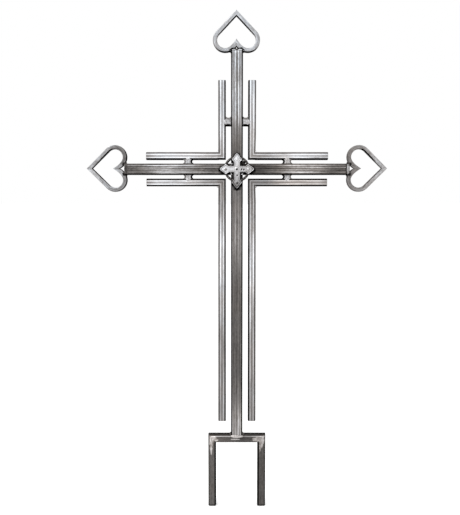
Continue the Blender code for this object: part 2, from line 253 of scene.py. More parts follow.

# (edge tone, width of its band on the face, flank tone) for sides that face inward, outward, up and
# down, and on the side hearts for a slope that faces inward and down. Partly patina the brush missed
# and partly painted shade: sides that face down are darkest, as under a light from above, and inward
# sides are darker too.
TUBE_TONES = ((0.05, 0.0029, 0.44), (0.05, 0.0029, 0.44), (0.33, 0.0024, 0.52), (0.05, 0.0034, 0.24))
BAR_TONES = {
    1: ((0.02, 0.0034, 0.42), (0.34, 0.0026, 0.54), (0.36, 0.0024, 0.56), (0.0, 0.0046, 0.06)),
    -1: ((0.08, 0.0030, 0.42), (0.32, 0.0026, 0.50), (0.0, 0.0032, 0.48), (0.02, 0.0034, 0.16)),
}
SPACER_TONES = ((0.0, 0.0036, 0.10), (0.38, 0.0016, 0.50), (0.48, 0.0014, 0.50), (0.03, 0.0040, 0.06))
FOOT_TONES = ((0.02, 0.0040, 0.24), (0.16, 0.0024, 0.30), (0.20, 0.0012, 0.20), (0.12, 0.0016, 0.22))
HEART_TONES = {
    "heart_top": ((0.50, 0.0009, 0.46), (0.60, 0.0009, 0.58), (0.72, 0.0009, 0.62), (0.02, 0.0024, 0.04)),
    "heart_left": (
        (0.10, 0.0020, 0.16), (0.60, 0.0009, 0.56), (0.62, 0.0009, 0.58), (0.34, 0.0026, 0.10),
        (0.0, 0.0028, 0.06),
    ),
    "heart_right": (
        (0.30, 0.0018, 0.20), (0.60, 0.0009, 0.56), (0.50, 0.0012, 0.58), (0.34, 0.0026, 0.10),
        (0.0, 0.0028, 0.06),
    ),
}

# Silver left on the faces: by height for the post, else by distance from the crossing
POST_COVER = (
    (0.00, 0.48), (0.06, 0.44), (0.10, 0.36), (0.15, 0.31), (0.33, 0.31), (0.39, 0.37), (0.44, 0.42),
    (0.49, 0.40), (0.53, 0.36), (0.57, 0.35), (0.63, 0.33), (0.68, 0.42), (0.71, 0.52), (0.76, 0.54),
    # At the top end a pale band that is a painted highlight on the edge, then a dark end, partly weld and
    # partly painted shadow under the heart
    (0.834, 0.50), (0.8365, 0.64), (0.8384, 0.64), (0.8394, 0.12), (0.845, 0.06),
)
ARM_COVER = {
    -1: ((0.0, 0.27), (0.05, 0.29), (0.10, 0.39), (0.14, 0.49), (0.18, 0.37), (0.21, 0.30), (0.24, 0.30)),
    1: ((0.0, 0.23), (0.05, 0.225), (0.09, 0.31), (0.13, 0.49), (0.17, 0.39), (0.20, 0.28), (0.24, 0.31)),
}
# For side bars, by (tier, side)
UPPER_UPRIGHT_COVER = ((0.03, 0.48), (0.055, 0.56), (0.09, 0.68), (0.19, 0.70))
UPRIGHT_COVER = {
    (1, -1): UPPER_UPRIGHT_COVER,
    (1, 1): UPPER_UPRIGHT_COVER,
    (-1, -1): (
        (0.03, 0.40), (0.06, 0.46), (0.10, 0.53), (0.15, 0.65), (0.20, 0.62), (0.27, 0.50), (0.36, 0.43),
        (0.55, 0.41),
    ),
    (-1, 1): (
        (0.03, 0.40), (0.06, 0.45), (0.10, 0.52), (0.15, 0.59), (0.20, 0.57), (0.27, 0.52), (0.36, 0.44),
        (0.55, 0.42),
    ),
}
LEVEL_COVER = {
    (1, -1): ((0.03, 0.52), (0.06, 0.58), (0.09, 0.71), (0.17, 0.72), (0.19, 0.54)),
    (1, 1): (
        (0.03, 0.46), (0.06, 0.50), (0.09, 0.62), (0.12, 0.68), (0.15, 0.67), (0.17, 0.62), (0.19, 0.50),
    ),
    (-1, -1): ((0.03, 0.44), (0.06, 0.48), (0.09, 0.62), (0.17, 0.66), (0.19, 0.52)),
    (-1, 1): ((0.03, 0.40), (0.06, 0.43), (0.09, 0.52), (0.17, 0.56), (0.19, 0.46)),
}
SPACER_COVER = 0.70
FOOT_COVER = {-1: 0.33, 1: 0.29}
# By distance from the heart's own origin toward its point
HEART_COVER = {
    "heart_top": ((0.0, 0.60), (0.03, 0.64), (0.087, 0.68)),
    "heart_left": ((0.0, 0.46), (0.02, 0.46), (0.04, 0.57), (0.055, 0.64), (0.087, 0.66)),
    "heart_right": ((0.0, 0.42), (0.02, 0.46), (0.04, 0.54), (0.055, 0.58), (0.087, 0.60)),
}
# How much warmer the silver gets in places, cooler where negative, and between which places it changes
COOLING_HEIGHTS = (0.66, 0.78)
WARMING_REACH = (0.05, 0.09)
HIGH_COOLNESS = -0.36
ARM_WARMTH = 0.35
LOWER_BAR_WARMTH = 0.6
FOOT_WARMTH = 0.5
LEFT_HEART_COOLNESS = -0.40
ROSETTE_COOLNESS = -0.10

# Textures of a brushed bar, in its own (across, depth, along): scale, detail, roughness
BRUSH_TEXTURES = {
    "fine": ((1300, 1300, 26), 3.0, 0.6),
    "broad": ((470, 470, 7), 2.0, 0.5),
    "speck": ((620, 620, 210), 3.0, 0.6),
    "blotch": ((250, 250, 100), 3.0, 0.6),
    "long_patch": ((70, 70, 13), 2.0, 0.5),
    "gaps": ((160, 160, 14), 2.0, 0.5),
}
# Bright streaks along a whole bar: (place across, width, gain)
POST_LINES = (
    (-0.0094, 0.0018, 0.16), (-0.0032, 0.0015, 0.60), (0.0001, 0.0014, -0.16), (0.0034, 0.0015, 0.56),
    (0.0078, 0.0015, 0.28),
)
ARM_LINES = ((-0.0078, 0.0014, 0.60), (-0.0036, 0.0014, 0.50), (0.0016, 0.0016, 0.24), (0.0064, 0.0015, 0.58))
BAR_LINES = ((-0.0033, 0.0018, 0.40), (0.0031, 0.0018, 0.36))
# Duller zone between the streaks and the edge: (start, end, share)
TUBE_SHOULDER = (0.0090, 0.0110, 0.92)
BAR_SHOULDER = (0.0042, 0.0052, 0.62)
FOOT_SHOULDER = (0.0050, 0.0080, 0.95)
HEART_SHOULDER = (0.0030, 0.0050, 0.94)
# Changes of tone by each of the first five textures
TUBE_SWINGS = (0.32, 0.30, 0.22, 0.15, 0.14)
BAR_SWINGS = (0.24, 0.24, 0.18, 0.08, 0.14)
SPACER_SWINGS = (0.16, 0.20, 0.24, 0.20, 0.06)
HEART_SWINGS = (0.16, 0.22, 0.30, 0.24, 0.12)
FOOT_SWINGS = (0.20, 0.16, 0.24, 0.16, 0.08)
EDGE_WAVER = 0.06
EDGE_SOFTNESS = 0.30
FLANK_EDGE = 0.0024

# Strokes of the grinder at each corner of the foot: start and end as (distance inward from the
# leg's middle, height), then half width at start and end
GROUND_STROKES = {
    -1: (
        (-0.0060, 0.0070, 0.0080, 0.0068, 0.0130, 0.0072),
        (-0.0030, 0.0060, -0.0014, -0.0260, 0.0070, 0.0016),
    ),
    1: (
        (-0.0040, 0.0080, 0.0150, 0.0070, 0.0105, 0.0060),
        (-0.0010, 0.0050, 0.0002, -0.0080, 0.0095, 0.0058),
        (0.0020, -0.0080, 0.0042, -0.0250, 0.0034, 0.0014),
    ),
}
GROUND_GREY = 0.57
# How bright the crossbar's upper edge is along x, worn and with a painted highlight; then the painted
# highlight line and the dark one below it
RIDGE_STOPS = (
    (-0.055, 1.1), (-0.045, 1.0), (-0.030, 0.74), (0.0, 0.66), (0.016, 0.50), (0.030, 0.66), (0.050, 1.0),
)
LIT_RIDGE = (-0.0043, 0.0019)
LIT_RIDGE_GAIN = 0.46
UNDER_RIDGE = (-0.0018, 0.0017)
UNDER_RIDGE_GAIN = -0.12


def blend_stops(stops, value):
    """Amount along a given run of (place, amount) stops."""
    return np.interp(value, [place for place, _ in stops], [amount for _, amount in stops])


def smooth_step(value, low, high):
    t = np.clip((value - low) / (high - low), 0, 1)
    return t * t * (3 - 2 * t)


def section(half_across, half_depth, corner):
    """Rounded rectangle as rows of (across, depth, normal across, normal depth)."""
    rows = []
    faces = (
        ((0, -1), (1, 0), half_across - corner, half_depth),
        ((1, 0), (0, 1), half_depth - corner, half_across),
        ((0, 1), (-1, 0), half_across - corner, half_depth),
        ((-1, 0), (0, -1), half_depth - corner, half_across),
    )
    for normal, run, flat, out in faces:
        support = min(EDGE_SUPPORT, flat / 2)
        for t in (-flat, -flat + support, -flat / 3, 0.0, flat / 3, flat - support, flat):
            rows.append((normal[0] * out + run[0] * t, normal[1] * out + run[1] * t, *normal))
        center = [normal[i] * (out - corner) + run[i] * flat for i in range(2)]
        for k in range(1, CORNER_STEPS):
            angle = QUARTER_TURN * k / CORNER_STEPS
            na, nb = [normal[i] * math.cos(angle) + run[i] * math.sin(angle) for i in range(2)]
            rows.append((center[0] + corner * na, center[1] + corner * nb, na, nb))
    return rows


class Skin:
    """Rings of vertices along a bar: where each lies, its place on the bar and the side it belongs to."""

    def __init__(self):
        self.points, self.places, self.rims, self.outward, self.sides = [], [], [], [], []
        self.stretches = []
        self.rings = []

    def add_ring(self, rows, stretch=1.0):
        """rows are (point, place on the bar, rim's distance from the middle, outward, side's direction)."""
        start = len(self.points)
        for row in rows:
            for column, value in zip((self.points, self.places, self.rims, self.outward, self.sides), row):
                column.append(value)
            self.stretches.append(stretch)
        self.rings.append(list(range(start, len(self.points))))

    def add_center(self, ring):
        for column in (self.points, self.places, self.outward, self.sides):
            column.append(np.mean([column[i] for i in ring], axis=0))
        self.rims.append(max(self.rims[i] for i in ring))
        self.stretches.append(1.0)
        return len(self.points) - 1

    def faces(self, closed):
        """Quads between the rings; the ends meet in a closed skin and are capped in an open one."""
        faces = []
        pairs = list(zip(self.rings, self.rings[1:]))
        if closed:
            pairs.append((self.rings[-1], self.rings[0]))
        for low, high in pairs:
            for i in range(len(low)):
                j = (i + 1) % len(low)
                faces.append((low[i], low[j], high[j], high[i]))
        if closed:
            return faces
        for ring, flip in ((self.rings[0], True), (self.rings[-1], False)):
            center = self.add_center(ring)
            for i in range(len(ring)):
                j = (i + 1) % len(ring)
                faces.append((ring[j], ring[i], center) if flip else (ring[i], ring[j], center))
        return faces


def end_rings(half, rounding):
    """(shrink, distance from the end, share of the outward direction along the bar), outermost first."""
    rings = [(half * 0.75, 0.0, 1.0), (half * 0.4, 0.0, 1.0), (rounding + half * 0.06, 0.0, 1.0)]
    for k in range(3):
        angle = QUARTER_TURN * (1 - k / 3)
        rings.append((rounding * (1 - math.cos(angle)), rounding * (1 - math.sin(angle)), math.sin(angle)))
    return rings


def ring_shares(length, close):
    """Shares of a run's length at which rings lie, closer together around one place of it."""
    shares = list(np.linspace(0, 1, max(3, round(length / RING_SPACING)) + 1))
    if close is not None:
        low = max(0.0, (close - CLOSE_REACH) / length)
        high = min(1.0, (close + CLOSE_REACH) / length)
        shares = [s for s in shares if s < low or s > high]
        shares += list(np.linspace(low, high, round((high - low) * length / CLOSE_SPACING) + 1))
    return sorted(set(shares) | {0.0, 1.0})


def bar_skin(path, half, corner, rounding, close=None, fillet=0.0):
    """Square bar along a path in the XZ plane with mitred corners; across is to the right of travel."""
    skin = Skin()
    points = [np.array((x, 0.0, z)) for x, z in path]
    runs = [(b - a, float(np.linalg.norm(b - a))) for a, b in zip(points, points[1:])]
    runs = [(step / length, length) for step, length in runs]
    turns = [0.0]
    for (before, _), (after, _) in zip(runs, runs[1:]):
        turns.append(math.atan2(before[2] * after[0] - before[0] * after[2], float(before @ after)))
    turns.append(0.0)
    gone = 0.0

    def ring_at(origin, run, place_of, shrink, end_share, length):
        lateral = np.array((run[2], 0.0, -run[0]))
        ring_corner = max(corner - shrink, LEAST_CORNER) if shrink else corner
        made = []
        for a, b, na, nb in section(half - shrink, half - shrink, ring_corner):
            s = place_of(a)
            wide = a
            if fillet:
                reach = max(0.0, fillet - min(s, length - s))
                wide = a * (1 + (fillet - math.sqrt(fillet**2 - reach**2)) / half)
            side = lateral * (1.0 if a > 0 else -1.0)
            outward = (lateral * na + DEPTH_AXIS * nb) * math.sqrt(1 - end_share**2) + run * end_share
            if shrink > corner / 2:
                side = run * (1.0 if end_share > 0 else -1.0)
            rim = half if abs(end_share) > 0.9 else abs(a)
            point = origin + run * s + lateral * wide + DEPTH_AXIS * b
            made.append((point, (a, b, gone + s), rim, outward, side))
        skin.add_ring(made)

    for index, (run, length) in enumerate(runs):
        low_slope = math.tan(turns[index] / 2)
        high_slope = math.tan(turns[index + 1] / 2)
        first = index == 0
        last = index == len(runs) - 1
        low = rounding if first else 0.0
        high = length - rounding if last else length
        if first:
            for shrink, at, share in end_rings(half, rounding):
                ring_at(points[index], run, lambda a: at, shrink, -share, length)
        for share in ring_shares(length, close):
            if share == 0.0 and not first:
                continue

            def place_of(a):
                start = low + a * low_slope
                return start + (high - a * high_slope - start) * share

            ring_at(points[index], run, place_of, 0, 0.0, length)
        if last:
            for shrink, at, share in reversed(end_rings(half, rounding)):
                ring_at(points[index], run, lambda a: length - at, shrink, share, length)
        gone += length
    return skin


def add_object(name, data):
    made = bpy.data.objects.new(name, data)
    bpy.context.scene.collection.objects.link(made)
    return made


def make_piece(name, points, faces):
    mesh = bpy.data.meshes.new(name)
    mesh.from_pydata([tuple(p) for p in points], [], faces)
    bm = bmesh.new()
    bm.from_mesh(mesh)
    bmesh.ops.recalc_face_normals(bm, faces=bm.faces)
    bm.to_mesh(mesh)
    bm.free()
    mesh.shade_smooth()
    return add_object(name, mesh)


def set_floats(piece, **columns):
    """Values of each vertex, which the materials read by name."""
    for name, values in columns.items():
        attribute = piece.data.attributes.new(name, "FLOAT", "POINT")
        attribute.data.foreach_set("value", np.asarray(values, np.float32))


def finish_piece(piece, slot, material, *nodes):
    piece.data.materials.append(material)
    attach(piece, "root")
    if nodes:
        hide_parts(*nodes)


def dip_surface(points, normals, seed):
    """Points moved inward by a little, so that a piece never grows."""
    shift = Vector((seed, -seed, seed * 0.5))
    waves = np.array([noise.noise(Vector(point) * DIP_SCALE + shift) for point in points])
    return points - normals * (SURFACE_DIP * (0.5 + 0.5 * waves))[:, None]


def side_values(points, sides, tones):
    """Tone and width of the dark band at an edge, and tone of the flank beyond, for each point's side."""
    inner, outer, up, down, *slope = tones
    sides = np.asarray(sides)
    length = np.maximum(np.linalg.norm(sides, axis=1), 1e-6)
    share = (np.abs(sides[:, 0]) / length) ** 2
    upright = sides[:, 2] / length
    toward = sides[:, 0] * np.sign(points[:, 0]) < 0
    falling = toward * (upright < 0) * (points[:, 2] > CROSSING)
    result = []
    # These tones hold painted shade: sides turned down, and on the side hearts slopes turned inward and down,
    # come out darker, partly patina and partly painted shade.
    for k in range(3):
        level = np.where(toward, inner[k], outer[k])
        height = np.where(upright > 0, up[k], down[k])
        value = level * share + height * (1 - share)
        if slope:
            on_slope = smooth_step(4 * share * (1 - share), 0.1, 0.6) * falling
            value += on_slope * (slope[0][k] - value)
        result.append(value)
    return result


def coolness_by_height(points):
    """The silver gets cooler toward the top of the cross, as if under a window."""
    return HIGH_COOLNESS * smooth_step(points[:, 2], *COOLING_HEIGHTS)


def warmth_to_right(amount):
    return lambda points: amount * smooth_step(points[:, 0], *WARMING_REACH)


def shaped_piece(name, skin, tones, cover_of, seed, warmth_of=coolness_by_height, closed=False):
    """A bar with the values that its material reads, and its points before they were made uneven."""
    faces = skin.faces(closed)
    points = np.array(skin.points)
    normals = np.array(skin.outward)
    normals /= np.maximum(np.linalg.norm(normals, axis=1), 1e-6)[:, None]
    piece = make_piece(name, dip_surface(points, normals, seed), faces)
    places = np.array(skin.places)
    places[:, 2] += seed
    attribute = piece.data.attributes.new("place", "FLOAT_VECTOR", "POINT")
    attribute.data.foreach_set("vector", places.astype(np.float32).ravel())
    tone, band, flank = side_values(points, skin.sides, tones)
    set_floats(piece, rim=skin.rims, side_tone=tone, band=band / np.array(skin.stretches), flank=flank)
    set_floats(piece, cover=cover_of(points), warm=warmth_of(points))
    return piece, points


class Nodes:
    """Short ways to write a material's node tree."""

    def __init__(self, material):
        self.tree = material.node_tree
        self.make = self.tree.nodes.new
        self.link = self.tree.links.new

    def feed(self, socket, value):
        if isinstance(value, bpy.types.NodeSocket):
            self.link(value, socket)
        else:
            socket.default_value = value

    def math(self, operation, *inputs):
        node = self.make("ShaderNodeMath")
        node.operation = operation
        for socket, value in zip(node.inputs, inputs):
            self.feed(socket, value)
        return node.outputs[0]

    def chain(self, operation, values):
        result = values[0]
        for value in values[1:]:
            result = self.math(operation, result, value)
        return result

    def add(self, *values):
        return self.chain("ADD", values)

    def times(self, *values):
        return self.chain("MULTIPLY", values)

    def minus(self, value, other):
        return self.math("SUBTRACT", value, other)

    def attribute(self, name, kind="Fac"):
        node = self.make("ShaderNodeAttribute")
        node.attribute_name = name
        return node.outputs[kind]

    def split(self, vector):
        node = self.make("ShaderNodeSeparateXYZ")
        self.link(vector, node.inputs[0])
        return node.outputs

    def object_place(self):
        return self.make("ShaderNodeTexCoord").outputs["Object"]

    def noise(self, place, scale, detail=2.0, roughness=0.5):
        stretch = self.make("ShaderNodeVectorMath")
        stretch.operation = "MULTIPLY"
        self.link(place, stretch.inputs[0])
        stretch.inputs[1].default_value = scale
        node = self.make("ShaderNodeTexNoise")
        node.inputs["Scale"].default_value = 1.0
        node.inputs["Detail"].default_value = detail
        node.inputs["Roughness"].default_value = roughness
        self.link(stretch.outputs[0], node.inputs["Vector"])
        return node.outputs["Fac"]

    def swing(self, value, amount):
        """A noise of 0 to 1 as a swing of plus or minus an amount."""
        return self.times(self.minus(value, 0.5), 2 * amount)

    def remap(self, value, low, high, to_low, to_high):
        node = self.make("ShaderNodeMapRange")
        node.interpolation_type = "SMOOTHSTEP"
        self.feed(node.inputs["Value"], value)
        for key, number in (("From Min", low), ("From Max", high), ("To Min", to_low), ("To Max", to_high)):
            node.inputs[key].default_value = number
        return node.outputs["Result"]

    def line(self, across, at, width):
        """1 on a line at some distance across the bar, falling to 0 at its width."""
        return self.remap(self.math("ABSOLUTE", self.minus(across, at)), 0.0, width, 1.0, 0.0)

    def blend(self, share, low, high):
        return self.add(low, self.times(share, self.minus(high, low)))

    def color_of(self, grey):
        """A display grey as a reflectance, warm where dark and cool where pale, in uneven patches."""
        lowest, highest = GREY_LIMITS
        grey = self.math("MAXIMUM", self.math("MINIMUM", grey, highest), lowest)
        linear = self.math("POWER", grey, DISPLAY_GAMMA)
        patches = self.swing(self.noise(self.object_place(), TINT_PATCH_SCALE), 0.60)
        coolness = self.add(self.remap(grey, 0.30, 0.85, 0.0, 1.0), patches)
        coolness = self.math("MAXIMUM", self.minus(coolness, self.attribute("warm")), WARMEST)
        channels = self.make("ShaderNodeCombineColor")
        for socket, dark, pale in zip(channels.inputs, DARK_TINT, PALE_TINT):
            self.link(self.times(linear, self.blend(coolness, dark, pale)), socket)
        return channels.outputs[0]


def finish_shader(n, shader, grey, grain, roughness, bump_height):
    """The patina is dull and the silver over it has a metal's sheen."""
    n.link(n.color_of(grey), shader.inputs["Base Color"])
    n.link(n.remap(grey, 0.30, 0.70, 0.05, 0.85), shader.inputs["Metallic"])
    n.link(n.remap(grey, 0.20, 0.80, *roughness), shader.inputs["Roughness"])
    n.link(n.remap(grey, 0.20, 0.60, 0.0, 0.35), shader.inputs["Specular IOR Level"])
    shader.inputs["Specular Tint"].default_value = (0.7, 0.7, 0.7, 1.0)
    bump = n.make("ShaderNodeBump")
    bump.inputs["Strength"].default_value = 0.35
    bump.inputs["Distance"].default_value = bump_height
    n.link(grain, bump.inputs["Height"])
    n.link(bump.outputs["Normal"], shader.inputs["Normal"])


def new_material(name):
    material = bpy.data.materials.new(name)
    material.use_nodes = True
    return material, material.node_tree.nodes["Principled BSDF"], Nodes(material)


def brushed_material(
    name, half, lines, shoulder, swings, faint=0.15, calm=0.4, rise=(0.34, 0.58), patch=None
):
    """Patina with silver streaks along the bar.

    faint and calm are the shares of the bright streaks and of the swings where there is little silver,
    below the first cover in rise; both are whole from the second on. patch is one more layer of tone.
    """
    material, shader, n = new_material(name)
    place = n.attribute("place", "Vector")
    across, depth, _ = n.split(place)
    rim = n.attribute("rim")
    cover = n.attribute("cover")
    textures = {key: n.noise(place, *values) for key, values in BRUSH_TEXTURES.items()}
    broad, speck, blotch = [textures[key] for key in ("broad", "speck", "blotch")]
    swing = n.add(*[n.swing(value, amount) for value, amount in zip(textures.values(), swings)])
    tone = n.add(cover, n.times(swing, n.remap(cover, *rise, calm, 1.0)))
    start, end, share = shoulder
    tone = n.times(tone, n.remap(rim, start, end, 1.0, share))
    strength = n.times(n.remap(cover, *rise, faint, 1.0), n.remap(textures["gaps"], 0.35, 0.60, 0.55, 1.1))
    for at, width, gain in lines:
        tone = n.add(tone, n.times(n.line(across, at, width), strength, gain))
    if patch:
        tone = patch(n, tone)
    # Dark bands along the edges, each as wide as its side asks: patina, and painted shade on sides that face
    # down
    inward = n.math("DIVIDE", n.minus(rim, half), n.attribute("band"))
    edge = n.remap(n.add(inward, 1.0, n.swing(broad, EDGE_WAVER)), 0.0, EDGE_SOFTNESS, 0.0, 1.0)
    mottle = n.add(n.swing(blotch, 0.5), n.swing(broad, 0.4))
    side_tone = n.attribute("side_tone")
    side = n.add(side_tone, n.times(mottle, side_tone))
    # Past the edge the flank is brushed like the front, only duller; flanks that face down carry painted
    # shade
    reach = half - FLANK_EDGE
    on_flank = n.remap(n.math("ABSOLUTE", depth), reach * 0.55, reach, 1.0, 0.0)
    flank = n.attribute("flank")
    brushed_flank = n.add(flank, n.times(n.add(mottle, n.swing(speck, 0.5)), flank))
    grey = n.blend(edge, tone, n.blend(on_flank, side, brushed_flank))
    finish_shader(n, shader, grey, n.add(n.times(textures["fine"], 0.5), blotch), (0.55, 0.34), 0.00025)
    return material


def ground_patch(n, tone):
    """Bare ground metal on the foot: the weld's own ragged, pale patches and a painted highlight on the upper
    edge.
    """
    place = n.object_place()
    bar_place = n.attribute("place", "Vector")
    across = n.split(bar_place)[0]
    ridge = n.attribute("ridge")
    ragged = n.swing(n.noise(place, (260, 260, 260), 3.0, 0.6), 0.60)
    share = n.remap(n.add(n.attribute("bare"), ragged), 0.22, 0.44, 0.0, 1.0)
    scratches = n.noise(bar_place, (420, 420, 90), 3.0, 0.6)
    duller = n.remap(n.split(place)[0], 0.040, 0.052, 0.0, -0.06)
    tone = n.blend(share, tone, n.add(GROUND_GREY, duller, n.swing(scratches, 0.56)))
    # A painted highlight along the crossbar's upper front edge, with a dark line below it
    lit = n.times(n.line(across, *LIT_RIDGE), ridge)
    below = n.times(n.line(across, *UNDER_RIDGE), ridge, n.minus(1.0, share))
    return n.add(tone, n.times(lit, LIT_RIDGE_GAIN), n.times(below, UNDER_RIDGE_GAIN))


def rosette_shadow_patch(n, tone):
    """Painted shadow around the rosette, over patina left dark where the brush didn't reach."""
    return n.times(tone, n.minus(1.0, n.attribute("halo")))


def weld_material():
    """A weld left as laid or roughly ground: pale on its crests, black in its folds."""
    material, shader, n = new_material("weld_metal")
    place = n.object_place()
    grain = n.noise(place, (700, 700, 700), 3.0, 0.6)
    patch = n.noise(place, (260, 260, 260))
    grey = n.add(n.attribute("cover"), n.swing(grain, 0.12), n.swing(patch, 0.12))
    finish_shader(n, shader, grey, grain, (0.55, 0.36), 0.0002)
    return material


def rosette_material():
    """Cast silver, brighter on what stands out and dark in the hollows."""
    material, shader, n = new_material("cast_silver")
    place = n.object_place()
    wear = n.attribute("wear")
    grain = n.noise(place, (900, 900, 900), 3.0, 0.6)
    patch = n.noise(place, (230, 230, 230))
    high = n.remap(wear, 0.05, 0.7, 0.0, 0.15)
    low = n.remap(wear, -0.6, -0.05, -0.60, 0.0)
    grey = n.add(n.attribute("cover"), high, low, n.swing(grain, 0.08), n.swing(patch, 0.12))
    finish_shader(n, shader, grey, grain, (0.52, 0.30), 0.0002)
    return material


post_material = brushed_material(
    "brushed_post", TUBE_HALF, POST_LINES, TUBE_SHOULDER, TUBE_SWINGS, faint=0.12, calm=0.34, patch=rosette_shadow_patch
)
arm_material = brushed_material(
    "brushed_arm", TUBE_HALF, ARM_LINES, TUBE_SHOULDER, TUBE_SWINGS, faint=0.12, rise=(0.20, 0.46),
    patch=rosette_shadow_patch,
)
bar_material = brushed_material("brushed_bar", BAR_HALF, BAR_LINES, BAR_SHOULDER, BAR_SWINGS, faint=0.6)
spacer_material = brushed_material("brushed_spacer", BAR_HALF, (), BAR_SHOULDER, SPACER_SWINGS)
heart_material = brushed_material("brushed_heart", HEART_BAR / 2, (), HEART_SHOULDER, HEART_SWINGS)
foot_material = brushed_material("dark_foot", FOOT_HALF, (), FOOT_SHOULDER, FOOT_SWINGS, patch=ground_patch)
weld_finish = weld_material()


def limb_outline(tip):
    """One pointed limb along +y, from its right side over the tip to its left side."""
    wide_y = tip - POINT_LENGTH
    half_point = POINT_WIDTH / 2
    right = [(LIMB_WIDTH / 2, wide_y - SHOULDER_LENGTH), (half_point, wide_y)]
    edge_length = math.hypot(half_point, POINT_LENGTH)
    normal = (POINT_LENGTH / edge_length, half_point / edge_length)
    for i in range(1, POINT_STEPS):
        t = i / POINT_STEPS
        swell = -POINT_SWELL * math.sin(2 * math.pi * t)
        x = half_point * (1 - t) + swell * normal[0]
        y = wide_y + POINT_LENGTH * t + swell * normal[1]
        right.append((x, y))
    return right + [(0, tip)] + [(-x, y) for x, y in reversed(right)]


def turned(points, angle):
    c, s = math.cos(angle), math.sin(angle)
    return [(x * c - y * s, x * s + y * c) for x, y in points]


def rosette_outline():
    half = LIMB_WIDTH / 2 + 0.0002
    points = []
    for quarter, tip in enumerate(ROSETTE_REACHES):
        points += turned(limb_outline(tip) + [(-half, half)], quarter * QUARTER_TURN)
    return points


def distance_to_outline(x, y, outline):
    """Distance of each point to a closed outline, and whether it is inside."""
    best = np.full(x.shape, 1e9)
    inside = np.zeros(x.shape, bool)
    for (ax, ay), (bx, by) in zip(outline, outline[1:] + outline[:1]):
        dx, dy = bx - ax, by - ay
        t = np.clip(((x - ax) * dx + (y - ay) * dy) / (dx * dx + dy * dy), 0, 1)
        best = np.minimum(best, np.hypot(x - ax - t * dx, y - ay - t * dy))
        crosses = (ay > y) != (by > y)
        at = ax + (y - ay) * dx / (dy if abs(dy) > 1e-12 else 1e-12)
        inside ^= crosses & (x < at)
    return best, inside


def rosette_shadow_and_patina(points):
    """How dark the tubes stay around the rosette: painted shadow, shifted downward, and patina the brush
    missed.
    """
    x = points[:, 0] - HALO_SHIFT[0]
    y = points[:, 2] - CROSSING - HALO_SHIFT[1]
    away, inside = distance_to_outline(x, y, rosette_outline())
    away = np.where(inside, 0.0, away)
    return HALO_DEPTH * (1 - smooth_step(away, HALO_REACH * 0.25, HALO_REACH)) * (points[:, 1] < 0)


def finish_tube(name, skin, cover_of, seed, warmth_of, material, node):
    piece, points = shaped_piece(name, skin, TUBE_TONES, cover_of, seed, warmth_of)
    set_floats(piece, halo=rosette_shadow_and_patina(points))
    finish_piece(piece, "tube_steel", material, node)


def build_tubes():
    path = [(0, POST_LOW.z), (0, POST_HIGH.z)]
    skin = bar_skin(path, TUBE_HALF, TUBE_CORNER, TUBE_END_ROUND, close=CROSSING - POST_LOW.z)
    post_cover = lambda points: blend_stops(POST_COVER, points[:, 2])
    finish_tube("post_tube", skin, post_cover, 0.0, coolness_by_height, post_material, "post")
    for (side_name, side), seed in zip(SIDES, (11.0, 23.0)):
        low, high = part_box(f"arm_{side_name}")
        path = [(low.x, CROSSING), (high.x, CROSSING)]
        close = 0.0 if side > 0 else high.x - low.x
        skin = bar_skin(path, TUBE_HALF, TUBE_CORNER, TUBE_END_ROUND, close=close)
        for index, (x, y, z) in enumerate(skin.points):
            slimness = ARM_SLIMNESS[1 if z > CROSSING else 0]
            skin.points[index] = np.array((x, y, CROSSING + (z - CROSSING) * slimness))
        arm_cover = lambda points: blend_stops(ARM_COVER[side], np.abs(points[:, 0]))
        warmth = warmth_to_right(ARM_WARMTH)
        finish_tube(f"{side_name}_arm_tube", skin, arm_cover, seed, warmth, arm_material, f"arm_{side_name}")


